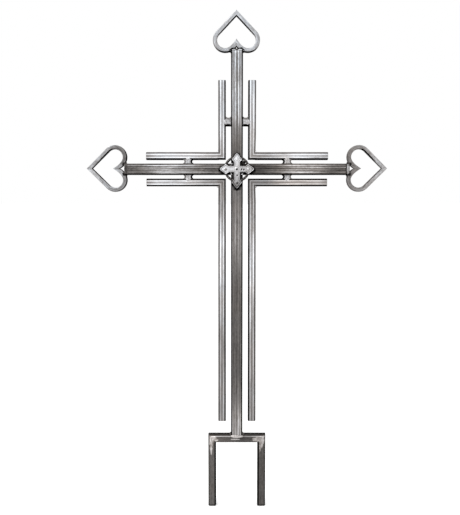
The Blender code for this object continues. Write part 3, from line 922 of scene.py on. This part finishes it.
def build_weld(name, kind, path, out, seed):
    """A lumpy bead of one kind along a path of points, rising in the direction out."""
    slot, half_width, height, (fold_grey, crest_grey), lumps = BEADS[kind]
    knots = [np.array(p, float) for p in path]
    lengths = [0.0]
    for a, b in zip(knots, knots[1:]):
        lengths.append(lengths[-1] + float(np.linalg.norm(b - a)))
    total = lengths[-1]
    out = np.array(out, float)
    out /= np.linalg.norm(out)

    def center_at(s):
        s = min(max(s, 0), total)
        return np.array([np.interp(s, lengths, [knot[axis] for knot in knots]) for axis in range(3)])

    points, greys, faces = [], [], []
    for i in range(BEAD_STEPS + 1):
        s = total * i / BEAD_STEPS
        tangent = center_at(s + total / BEAD_STEPS) - center_at(s - total / BEAD_STEPS)
        lateral = np.cross(out, tangent / np.linalg.norm(tangent))
        lateral /= np.linalg.norm(lateral)
        taper = max(math.sin(math.pi * (0.03 + 0.94 * i / BEAD_STEPS)), 0.0) ** 0.45
        for j in range(BEAD_SIDES):
            angle = 2 * math.pi * j / BEAD_SIDES
            c, s_angle = math.cos(angle), math.sin(angle)
            spot = Vector((s * LUMP_SCALE + seed, c * 1.3, s_angle * 1.3))
            swell = taper * (1 + lumps * noise.noise(spot) * 1.6)
            points.append(center_at(s) + lateral * half_width * swell * c + out * height * swell * s_angle)
            crest = smooth_step(s_angle, -0.2, 0.9) * (0.6 + 0.8 * max(noise.noise(spot * 1.7), 0))
            greys.append(fold_grey + (crest_grey - fold_grey) * min(crest, 1.0))
    for a in range(0, BEAD_STEPS * BEAD_SIDES, BEAD_SIDES):
        b = a + BEAD_SIDES
        for j in range(BEAD_SIDES):
            k = (j + 1) % BEAD_SIDES
            faces.append((a + j, a + k, b + k, b + j))
    last = BEAD_STEPS * BEAD_SIDES
    faces += [tuple(reversed(range(BEAD_SIDES))), tuple(range(last, last + BEAD_SIDES))]
    piece = make_piece(name, points, faces)
    points = np.array(points)
    by_foot = points[:, 2] < FOOT_HIGH.z + 0.005
    set_floats(piece, cover=greys, warm=coolness_by_height(points) + FOOT_WARMTH * by_foot)
    finish_piece(piece, slot, weld_finish)


def spread_upright(point, name, side, corner, far_z):
    """A point of an angle moved outward by its upright's spread; its level bar stays."""
    x, y, z = point
    across = (x - corner[0]) * side
    height = (z - corner[1]) / (far_z - corner[1])
    if across > BAR_HALF + 1e-6 or height < 0:
        return np.array(point)
    begun = smooth_step(abs(z - corner[1]), BAR_HALF, BAR_HALF + SPREAD_START)
    inner, outer = [start + (end - start) * height for start, end in UPRIGHT_SPREAD[name]]
    share = (across / BAR_HALF + 1) / 2
    return np.array((x + side * begun * (inner + (outer - inner) * share), y, z))


def corner_cover(upright_stops, level_stops, corner_x):
    """Silver on an upright and its level bar, by distance from the crossing along each."""

    def cover(points):
        reach = np.abs(points[:, 2] - CROSSING)
        across = np.abs(points[:, 0])
        on_level = across > corner_x + BAR_HALF
        return np.where(on_level, blend_stops(level_stops, across), blend_stops(upright_stops, reach))

    return cover


def build_side_bars():
    """Each upright and level bar, welded into one angle whose seam is ground flush."""
    seed = 31.0
    for tier_name, tier in TIERS:
        for side_name, side in SIDES:
            upright = f"{tier_name}_upright_{side_name}"
            level = f"{tier_name}_level_bar_{side_name}"
            name = f"{tier_name}_{side_name}"
            low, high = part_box(upright)
            corner_x = (low.x + high.x) / 2
            far_z = high.z + UPRIGHT_TRIM if tier > 0 else low.z
            level_low, level_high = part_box(level)
            corner_z = (level_low.z + level_high.z) / 2
            far_x = max(level_low.x, level_high.x, key=abs) + side * LEVEL_TRIMS[name]
            path = [(corner_x, far_z), (corner_x, corner_z), (far_x, corner_z)]
            skin = bar_skin(path, BAR_HALF, BAR_CORNER, BAR_END_ROUND)
            for index, (x, y, z) in enumerate(skin.points):
                if z < corner_z and abs(x) > abs(corner_x) + BAR_HALF:
                    z -= LEVEL_SAG
                skin.points[index] = spread_upright((x, y, z), name, side, (corner_x, corner_z), far_z)
            cover_of = corner_cover(UPRIGHT_COVER[tier, side], LEVEL_COVER[tier, side], abs(corner_x))
            warmth_of = coolness_by_height if tier > 0 else warmth_to_right(LOWER_BAR_WARMTH)
            piece, _ = shaped_piece(f"{name}_angle", skin, BAR_TONES[tier], cover_of, seed, warmth_of)
            finish_piece(piece, "side_bar_steel", bar_material, upright, level)
            seed += 9.0
            # Fillet in the open corner of the angle, from front to back
            x = corner_x + side * (BAR_HALF + CORNER_WELD_OUT)
            z = corner_z + tier * (BAR_HALF + CORNER_WELD_OUT)
            fillet = [(x, y, z) for y in (-BAR_HALF - 0.0008, 0.0, BAR_HALF - 0.0004)]
            kind = f"{tier_name}_corner"
            build_weld(f"{name}_corner_weld", kind, fillet, (side, 0, tier), 3.0 + side + tier * 2)


def build_spacer_tack(name, path, seed):
    """Ground tack in front where a spacer meets its side bar, over the bar's dark edge."""
    front = TACK_SINK - BAR_HALF
    if name.startswith("post"):
        x = max(path[0][0], path[1][0], key=abs)
        x += math.copysign(TACK_INSET, x)
        tack = [(x, front, path[0][1] + reach) for reach in (-TACK_HALF, TACK_HALF)]
    else:
        z = max(path[0][1], path[1][1], key=lambda height: abs(height - CROSSING))
        z += math.copysign(TACK_INSET, z - CROSSING)
        tack = [(path[0][0] + reach, front, z) for reach in (-TACK_HALF, TACK_HALF)]
    build_weld(f"{name}_tack", "spacer_tack", tack, (0, -1, 0), seed)


def build_spacers():
    seed = 71.0
    names = [f"post_spacer_{side_name}" for side_name, _ in SIDES]
    names += [f"{tier_name}_arm_spacer_{side_name}" for tier_name, _ in TIERS for side_name, _ in SIDES]
    for name in names:
        low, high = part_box(name)
        center = (low + high) / 2
        if name.startswith("post"):
            z = center.z - POST_SPACER_DROP
            path = [(low.x - SPACER_OVERLAP, z), (high.x + SPACER_OVERLAP, z)]
            half = BAR_HALF + POST_SPACER_EXTRA
            underside = z - half
        else:
            x = center.x + ARM_SPACER_SHIFT
            path = [(x, low.z - SPACER_OVERLAP), (x, high.z + SPACER_OVERLAP)]
            half = BAR_HALF - SPACER_INSET
            underside = low.z - SPACER_OVERLAP
        skin = bar_skin(path, half, SPACER_CORNER, SPACER_END_ROUND, fillet=SPACER_FILLET)
        slimness = (BAR_HALF - SPACER_INSET) / half
        skin.points = [np.array((x, y * slimness, max(z, underside))) for x, y, z in skin.points]
        cover_of = lambda points: np.full(len(points), SPACER_COVER)
        piece, _ = shaped_piece(f"{name}_block", skin, SPACER_TONES, cover_of, seed)
        finish_piece(piece, "side_bar_steel", spacer_material, name)
        build_spacer_tack(name, path, seed)
        seed += 5.0


def bare_metal(points):
    """How bare the foot is at its ground corners, 1 in the middle of a grinder's stroke."""
    bare = np.zeros(len(points))
    for side, strokes in GROUND_STROKES.items():
        inward = LEG_X - side * points[:, 0]
        height = points[:, 2]
        for start_x, start_z, end_x, end_z, start_half, end_half in strokes:
            run_x, run_z = end_x - start_x, end_z - start_z
            share = (inward - start_x) * run_x + (height - start_z) * run_z
            share = np.clip(share / (run_x**2 + run_z**2), 0, 1)
            away = np.hypot(inward - start_x - run_x * share, height - start_z - run_z * share)
            bare = np.maximum(bare, 1 - away / (start_half + (end_half - start_half) * share))
    return bare * (points[:, 1] < 0)


def foot_cover(points):
    """The legs' ends are dark."""
    silver = np.where(points[:, 0] < 0, FOOT_COVER[-1], FOOT_COVER[1])
    return silver * (0.55 + 0.45 * smooth_step(points[:, 2], LEG_END + 0.0008, LEG_END + 0.0034))


def build_foot():
    bar_z = FOOT_LOW.z + FOOT_HALF
    path = [(-LEG_X, LEG_END), (-LEG_X, bar_z), (LEG_X, bar_z), (LEG_X, LEG_END)]
    skin = bar_skin(path, FOOT_HALF, FOOT_CORNER, LEG_END_ROUND)
    for index, (x, y, z) in enumerate(skin.points):
        low_side = z < FOOT_HALF and abs(x) < LEG_X - FOOT_HALF
        high_side = z > FOOT_HALF
        outer_right = x > LEG_X
        lift = high_side * CROSSBAR_CROWN - low_side * CROSSBAR_SAG
        skin.points[index] = np.array((x + outer_right * RIGHT_LEG_EXTRA, y, z + lift))
    warmth_of = lambda points: (bare_metal(points) > 0.02) * FOOT_WARMTH
    piece, points = shaped_piece("foot_fork", skin, FOOT_TONES, foot_cover, 97.0, warmth_of)
    on_crossbar = (points[:, 2] > 0) & (np.abs(points[:, 0]) < LEG_X + 0.004)
    set_floats(piece, bare=bare_metal(points), ridge=on_crossbar * blend_stops(RIDGE_STOPS, points[:, 0]))
    finish_piece(piece, "foot_steel", foot_material, "foot_crossbar", "foot_leg_left", "foot_leg_right")


def build_foot_welds():
    """Under the post's overhang a ground apron, a fold and a bead; fillets at its sides and back.

    The dark fold is the overhang's painted shadow.
    """
    front = WELD_SINK - FOOT_HALF
    apron = [(x, -FOOT_HALF - 0.0012, 0.0148) for x in (-0.0136, 0.0138)]
    build_weld("post_foot_apron", "apron", apron, (0, -1, 0.45), 5.0)
    fold = [(x, front, 0.0102) for x in (-0.0142, 0.0140)]
    build_weld("post_foot_fold", "foot_shadow_fold", fold, (0, -1, 0), 9.0)
    bead = [(-0.0128, front, 0.0074), (0.0068, front, 0.0076)]
    build_weld("post_foot_bead", "foot_bead", bead, (0, -1, 0), 6.0)
    for side_name, side in SIDES:
        x = side * (TUBE_HALF + 0.0008)
        fillet = [(x, y, FOOT_HIGH.z + WELD_LIFT) for y in (-0.0100, 0.0100)]
        build_weld(f"post_foot_fillet_{side_name}", "foot_fillet", fillet, (side, 0, 1), 7.0 + side)
    back = [(x, FOOT_HALF + WELD_LIFT, 0.0138) for x in (-0.0125, 0.0125)]
    build_weld("post_foot_back_bead", "foot_back", back, (0, 1, 0.5), 8.0)


def build_top_heart_welds():
    """Dark folds beside the notch and bright beads on the post's end, in front and behind.

    The folds stand partly for a weld groove and partly for painted shadow where the heart sits on the post.
    """
    for where, front in FACES:
        for side_name, side in SIDES:
            y = front * TOP_FOLD_OUT
            fold = [(side * x, y, POST_HIGH.z + z) for x, z in TOP_FOLD]
            name = f"top_heart_{where}_fold_{side_name}"
            build_weld(name, "top_shadow_fold", fold, (0, front, 0), 12.0 + side + front)
            y, level = (WELD_SINK - TUBE_HALF, -0.0024) if front < 0 else (TUBE_HALF - 0.0036, 0.0006)
            bead = [(side * x, y, POST_HIGH.z + level + z) for x, z in TOP_BEAD]
            name = f"top_heart_{where}_bead_{side_name}"
            build_weld(name, "top_bead", bead, (0, front, 0.4), 17.0 + side + front)


def build_arm_end_welds(side_name, side):
    """Beads across an arm's end, a seam beside the front one, and folds where the heart's lobes sit.

    The folds are dark, partly weld undercut and partly painted shadow.
    """
    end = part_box(f"arm_{side_name}")[0 if side < 0 else 1].x
    for where, front in FACES:
        y = front * (TUBE_HALF - (WELD_SINK if front < 0 else 0.0028))
        bead = [(end - side * 0.0038, y, CROSSING + z) for z in (-0.0104, 0.0, 0.0100)]
        name = f"{side_name}_heart_{where}_bead"
        build_weld(name, f"{side_name}_arm_end", bead, (0, front, 0), 19.0 + side + 7 * front)
    x = end - side * (0.0074 if side > 0 else 0.0070)
    seam = [(x, WELD_SINK - TUBE_HALF, CROSSING + z) for z in (-0.0098, 0.0, 0.0090)]
    build_weld(f"{side_name}_heart_front_seam", f"{side_name}_seam", seam, (0, -1, 0), 27.0 + side)
    for tier_name, tier in TIERS:
        for where, front in FACES:
            y = front * ARM_FOLD_OUT
            fold = [(end + side * x, y, CROSSING + tier * z) for x, z in ARM_FOLD]
            name = f"{side_name}_heart_{tier_name}_{where}_fold"
            build_weld(name, "heart_shadow_fold", fold, (0, front, 0), 21.0 + side + 3 * tier + 7 * front)
        z = CROSSING + tier * (TUBE_HALF + WELD_LIFT)
        edge = [(end - side * 0.0020, y, z) for y in (-0.0050, 0.0050)]
        name = f"{side_name}_heart_{tier_name}_edge_bead"
        build_weld(name, "heart_edge", edge, (-side * 0.5, 0, tier), 33.0 + side + 3 * tier)


def build_joint_welds():
    build_foot_welds()
    build_top_heart_welds()
    for side_name, side in SIDES:
        # Dark beads under the top heart's lobes beside the post, painted shade
        x = side * (TUBE_HALF + 0.0003)
        bead = [(x, y, POST_HIGH.z - 0.0036) for y in (-0.0045, 0.0045)]
        build_weld(f"top_heart_side_bead_{side_name}", "top_side_shade", bead, (side, 0, -0.6), 15.0 + side)
        build_arm_end_welds(side_name, side)


def arc(center, radius, start, stop, steps):
    angles = [start + (stop - start) * i / steps for i in range(steps + 1)]
    return [(center[0] + radius * math.cos(a), center[1] + radius * math.sin(a)) for a in angles]


def eased_line(start, stop, start_angle, stop_angle, steps):
    """Curve between two points that leaves and arrives at given angles."""
    points = []
    for k in range(steps + 1):
        t = k / steps
        weights = (2 * t**3 - 3 * t**2 + 1, t**3 - 2 * t**2 + t, -2 * t**3 + 3 * t**2, t**3 - t**2)
        pulls = [(CUSP_PULL * math.cos(a), CUSP_PULL * math.sin(a)) for a in (start_angle, stop_angle)]
        rows = (start, pulls[0], stop, pulls[1])
        points.append(tuple(sum(w * row[i] for w, row in zip(weights, rows)) for i in range(2)))
    return points


def heart_edge_lines(length, cusp_height, notch_height):
    """Outer and inner line of the bar with like steps, from the point round to the notch and back."""
    lobe_x = HEART_ACROSS / 2 - LOBE_RADIUS
    rise = length - LOBE_RADIUS
    lean = math.atan2(lobe_x, rise) + math.asin(LOBE_RADIUS / math.hypot(lobe_x, rise))
    lines = []
    for inset, axis_height in ((0.0, notch_height), (HEART_BAR, cusp_height)):
        tip = (0.0, length - inset / math.sin(lean) - (0.0 if inset else TIP_BLUNTING))
        lobe = arc((lobe_x, LOBE_RADIUS), LOBE_RADIUS - inset, lean, -QUARTER_TURN, LOBE_STEPS)
        shares = [k / STRAIGHT_STEPS for k in range(STRAIGHT_STEPS)]
        straight = [tuple(tip[i] + (lobe[0][i] - tip[i]) * share for i in range(2)) for share in shares]
        climb = axis_height - inset
        slope = CUSP_SLOPE if inset else 2 * math.atan2(climb, lobe_x)
        cusp = eased_line((lobe_x, inset), (0.0, axis_height), math.pi, math.pi - slope, CUSP_STEPS)
        right = straight + lobe + cusp[1:-1] + [(0.0, axis_height)]
        lines.append(right + [(-x, y) for x, y in reversed(right[1:-1])])
    return lines


def heart_cover(name, points, origin):
    """Silver by distance from the heart's origin. The left one's cusp is paler and its upper half duller."""
    if name == "heart_top":
        return blend_stops(HEART_COVER[name], points[:, 2] - origin[2])
    reach = np.abs(points[:, 0] - origin[0])
    cover = blend_stops(HEART_COVER[name], reach)
    if name == "heart_left":
        on_cusp = (np.abs(points[:, 2] - CROSSING) < 0.011) * (reach < 0.036)
        cover = cover - 0.07 * (points[:, 2] > CROSSING) + 0.12 * on_cusp
    return cover


def build_heart(name, tube_end, seed):
    axis, cusp_height, notch_height, shift, shortening = HEARTS[name]
    outer, inner = heart_edge_lines(HEART_LENGTH - shortening, cusp_height, notch_height)
    up = np.array((axis[0], 0.0, axis[1]))
    right = np.array((axis[1], 0.0, -axis[0]))
    origin = np.array((shift[0], 0.0, CROSSING + shift[1])) + up * (tube_end - HEART_BITE + shortening)
    rows = section(HEART_BAR / 2, HEART_DEPTH / 2, HEART_EDGE)
    skin = Skin()
    gone = 0.0
    before = None
    for (ox, oy), (ix, iy) in zip(outer, inner):
        out_point = origin + right * ox + up * oy
        in_point = origin + right * ix + up * iy
        middle = (out_point + in_point) / 2
        width = np.linalg.norm(out_point - in_point)
        direction = (out_point - in_point) / width
        if before is not None:
            gone += float(np.linalg.norm(middle - before))
        before = middle
        made = []
        for a, b, na, nb in rows:
            point = middle + direction * a * width / HEART_BAR + DEPTH_AXIS * b
            side = direction * (1.0 if a > 0 else -1.0)
            made.append((point, (a, b, gone), abs(a), direction * na + DEPTH_AXIS * nb, side))
        skin.add_ring(made, width / HEART_BAR)
    cover_of = lambda points: heart_cover(name, points, origin)
    warmth_of = coolness_by_height
    if name == "heart_left":
        warmth_of = lambda points: np.full(len(points), LEFT_HEART_COOLNESS)
    piece, _ = shaped_piece(name + "_bar", skin, HEART_TONES[name], cover_of, seed, warmth_of, closed=True)
    finish_piece(piece, "heart_steel", heart_material, name)


def inset_outline(points, distance):
    """The outline moved inward. It runs counter-clockwise, so inward is to the left."""
    moved = []
    count = len(points)
    for i, (x, y) in enumerate(points):
        before = points[i - 1]
        after = points[(i + 1) % count]
        in_angle = math.atan2(y - before[1], x - before[0])
        out_angle = math.atan2(after[1] - y, after[0] - x)
        half_turn = math.remainder(out_angle - in_angle, 2 * math.pi) / 2
        direction = in_angle + half_turn + QUARTER_TURN
        reach = distance / math.cos(half_turn)
        moved.append((x + reach * math.cos(direction), y + reach * math.sin(direction)))
    return moved


def evaluated_mesh(piece):
    graph = bpy.context.evaluated_depsgraph_get()
    return bpy.data.meshes.new_from_object(piece.evaluated_get(graph))


def add_plate(bm, outlines, high):
    """Outlines in local XY, later ones as holes, made solid from 0 to a height."""
    curve = bpy.data.curves.new("plate", "CURVE")
    curve.dimensions = "2D"
    curve.fill_mode = "BOTH"
    curve.extrude = high / 2
    for points in outlines:
        spline = curve.splines.new("POLY")
        spline.points.add(len(points) - 1)
        for point, (x, y) in zip(spline.points, points):
            point.co = (x, y, 0, 1)
        spline.use_cyclic_u = True
    shape = add_object("plate", curve)
    mesh = evaluated_mesh(shape)
    bpy.data.objects.remove(shape)
    part = bmesh.new()
    part.from_mesh(mesh)
    bmesh.ops.remove_doubles(part, verts=part.verts, dist=1e-6)
    bmesh.ops.translate(part, vec=(0, 0, high / 2), verts=part.verts)
    bmesh.ops.recalc_face_normals(part, faces=part.faces)
    part.to_mesh(mesh)
    part.free()
    bm.from_mesh(mesh)
    bpy.data.meshes.remove(mesh)


def add_ball(bm, x, y, level, radius, rise):
    made = bmesh.ops.create_uvsphere(bm, u_segments=24, v_segments=14, radius=radius)
    bmesh.ops.scale(bm, vec=(1, 1, rise / radius), verts=made["verts"])
    bmesh.ops.translate(bm, vec=(x, y, level), verts=made["verts"])


def add_flat_torus(bm, radius, half_width, half_height, level):
    steps, around = 96, 14
    rings = []
    for i in range(steps):
        turn = 2 * math.pi * i / steps
        ring = []
        for j in range(around):
            angle = 2 * math.pi * j / around
            r = radius + half_width * math.cos(angle)
            z = level + half_height * math.sin(angle)
            ring.append(bm.verts.new((r * math.cos(turn), r * math.sin(turn), z)))
        rings.append(ring)
    for i in range(steps):
        a, b = rings[i], rings[(i + 1) % steps]
        for j in range(around):
            k = (j + 1) % around
            bm.faces.new((a[j], b[j], b[k], a[k]))


def rosette_blank():
    """The casting's shapes run together as one skin, in its own XY with z as the height."""
    outline = rosette_outline()
    field_level = ROSETTE_THICKNESS - FIELD_DEPTH
    bm = bmesh.new()
    add_plate(bm, [outline], field_level)
    add_plate(bm, [outline, inset_outline(outline, RIM_WIDTH)], ROSETTE_THICKNESS)
    add_flat_torus(bm, RING_RADIUS, RING_HALF_WIDTH, RING_HALF_HEIGHT, RING_HALF_HEIGHT + FIT_GAP)
    for quarter, tip in enumerate(ROSETTE_REACHES):
        x, y = turned([(0, tip - POINT_LENGTH)], quarter * QUARTER_TURN)[0]
        add_ball(bm, x, y, field_level, STUD_RADIUS, STUD_RISE)
        for lean in KNOB_LEANS:
            angle = math.radians(45 + 90 * quarter + lean)
            x, y = RING_RADIUS * math.cos(angle), RING_RADIUS * math.sin(angle)
            add_ball(bm, x, y, RING_HALF_HEIGHT + KNOB_LIFT, KNOB_RADIUS, KNOB_RADIUS * 0.9)
    add_ball(bm, 0, 0, field_level, BOSS_RADIUS, BOSS_RISE)
    raw = bpy.data.meshes.new("rosette_raw")
    bm.to_mesh(raw)
    bm.free()
    piece = add_object("rosette_casting", raw)
    remesh = piece.modifiers.new("remesh", "REMESH")
    remesh.mode = "VOXEL"
    remesh.voxel_size = ROSETTE_VOXEL
    mesh = evaluated_mesh(piece)
    piece.modifiers.clear()
    piece.data = mesh
    bpy.data.meshes.remove(raw)
    return piece


def read_rows(collection, key, width, kind=np.float32):
    """One value of every item of a mesh's collection, as rows."""
    values = np.zeros(len(collection) * width, kind)
    collection.foreach_get(key, values)
    return values.reshape(-1, width)


def soften(values, edges, passes, strength):
    """Each vertex moved toward the mean of its neighbours, over and over."""
    count = len(values)
    degree = np.maximum(np.bincount(edges.ravel(), minlength=count), 1).astype(float)
    result = values.copy()
    for _ in range(passes):
        columns = []
        for column in result.T:
            total = np.bincount(edges[:, 0], weights=column[edges[:, 1]], minlength=count)
            total += np.bincount(edges[:, 1], weights=column[edges[:, 0]], minlength=count)
            columns.append(total / degree)
        result += strength * (np.column_stack(columns) - result)
    return result


def rosette_paint(points, normals, hollow_darkening):
    """Silver on the casting over its face, ring and edges, with painted light from the upper left
    and painted shade where it lies deep or turns away from the front.
    """
    # Painted shade: the deeper a point lies, and the more its surface turns away from the front, the darker
    level = smooth_step(points[:, 2], 0.0014, 0.0040)
    lit = np.clip(normals[:, 2], 0, 1)
    # Painted light from the upper left: the face's upper left and the edges turned up and left are paler
    lean = (points[:, 1] - points[:, 0]) / (2 * ROSETTE_SIDE_REACH)
    stroke = 0.16 * (normals[:, 1] - normals[:, 0])
    away, inside = distance_to_outline(points[:, 0], points[:, 1], rosette_outline())
    on_ring = (1 - inside) * smooth_step(away, 0.0, 0.0008)
    # The lower point is duller, and along the outline the casting is darker, partly patina on its rounded
    # edge and partly painted shade
    face = (FACE_GREY + 0.24 * lean) * (1 - 0.30 * smooth_step(-points[:, 1], 0.016, 0.034))
    face = face * (0.16 + 0.84 * smooth_step(np.where(inside, away, 0.0), 0.0, 0.0011))
    paint = face * (1 - on_ring) + RING_GREY * on_ring
    return (paint + stroke * level) * (0.12 + 0.88 * level) * (0.25 + 0.75 * lit) * (1 - hollow_darkening)


def build_rosette():
    piece = rosette_blank()
    mesh = piece.data
    edges = read_rows(mesh.edges, "vertices", 2, np.int32)
    points = soften(read_rows(mesh.vertices, "co", 3).astype(float), edges, *SOFTENING)
    hollow_darkening = np.zeros(len(points))
    for x, y, radius, depth, dark in ROSETTE_PITS:
        away = np.hypot(points[:, 0] - x, points[:, 1] - y)
        points[:, 2] -= depth * smooth_step(-away, -radius, 0) * (points[:, 2] > ROSETTE_THICKNESS / 2)
        hollow_darkening = np.maximum(hollow_darkening, dark * smooth_step(-away, -radius * 0.9, -radius * 0.3))
    for point in points:
        place = Vector(point)
        point[2] += sum(noise.noise(place * scale) * height for scale, height in CAST_GRAINS) - GRAIN_DROP

    # High places wear bright and hollows stay dark: how far each point stands out of its surroundings
    smoothed = soften(points, edges, *WEAR_SPREAD)
    mesh.vertices.foreach_set("co", points.astype(np.float32).ravel())
    mesh.update()
    normals = read_rows(mesh.vertices, "normal", 3)
    wear = np.clip(np.sum((points - smoothed) * normals, axis=1) / WEAR_HEIGHT, -1, 1)
    cover = rosette_paint(points, normals, hollow_darkening)
    set_floats(piece, wear=wear, cover=cover, warm=np.full(len(points), ROSETTE_COOLNESS))
    world = np.column_stack((points[:, 0], -(TUBE_HALF + FIT_GAP) - points[:, 2], CROSSING + points[:, 1]))
    mesh.vertices.foreach_set("co", world.astype(np.float32).ravel())
    mesh.shade_smooth()
    mesh.update()
    finish_piece(piece, "rosette_casting", rosette_material(), "rosette")


def build_rosette_tacks():
    """Weld left in the rosette's openings, where it holds on to the post and arms."""
    for number, (name, places) in enumerate(ROSETTE_TACKS):
        path = [(x, -(TUBE_HALF + WELD_LIFT), CROSSING + z) for x, z in places]
        build_weld(name, name, path, (0, -1, 0), 41.0 + number)


def build_stage():
    """A pale floor under the fork, lit well above white as in a cut-out product picture."""
    mesh = bpy.data.meshes.new("floor")
    bm = bmesh.new()
    bmesh.ops.create_grid(bm, x_segments=8, y_segments=8, size=FLOOR_SIZE)
    bmesh.ops.translate(bm, vec=(0, 0, LEG_END - FLOOR_GAP), verts=bm.verts)
    bm.to_mesh(mesh)
    bm.free()
    floor = add_object("floor", mesh)
    material, shader, _ = new_material("pale_floor")
    shader.inputs["Base Color"].default_value = FLOOR_WHITE
    shader.inputs["Roughness"].default_value = 1.0
    shader.inputs["Specular IOR Level"].default_value = 0.0
    shader.inputs["Emission Color"].default_value = FLOOR_WHITE
    shader.inputs["Emission Strength"].default_value = FLOOR_GLOW
    mesh.materials.append(material)


def build_light():
    world = bpy.data.worlds.new("studio")
    world.use_nodes = True
    background = world.node_tree.nodes["Background"]
    background.inputs["Color"].default_value = SKY_WHITE
    background.inputs["Strength"].default_value = 1.0
    bpy.context.scene.world = world
    light = bpy.data.lights.new("key", "AREA")
    light.shape = "SQUARE"
    light.size = KEY_SIZE
    light.energy = KEY_WATTS
    lamp = add_object("key", light)
    lamp.location = KEY_PLACE
    lamp.rotation_mode = "QUATERNION"
    toward_crossing = Vector((0, 0, CROSSING)) - Vector(KEY_PLACE)
    lamp.rotation_quaternion = toward_crossing.to_track_quat("-Z", "Y")


def build_camera():
    data = bpy.data.cameras.new("camera")
    data.sensor_fit = "AUTO"
    data.sensor_width = SENSOR
    data.lens = FOCAL_PIXELS * SENSOR / PICTURE_LONG_SIDE
    data.clip_start = 0.05
    data.clip_end = 100.0
    camera = add_object("camera", data)
    camera.location = CAMERA_PLACE
    camera.rotation_euler = (QUARTER_TURN - CAMERA_PITCH, 0.0, 0.0)
    bpy.context.scene.camera = camera
    bpy.context.scene.view_settings.view_transform = "Standard"


build_camera()
build_light()
build_stage()
build_tubes()
build_side_bars()
build_spacers()
build_foot()
build_joint_welds()
build_heart("heart_top", POST_HIGH.z - CROSSING, 141.0)
build_heart("heart_left", -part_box("arm_left")[0].x, 151.0)
build_heart("heart_right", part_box("arm_right")[1].x, 161.0)
build_rosette()
build_rosette_tacks()
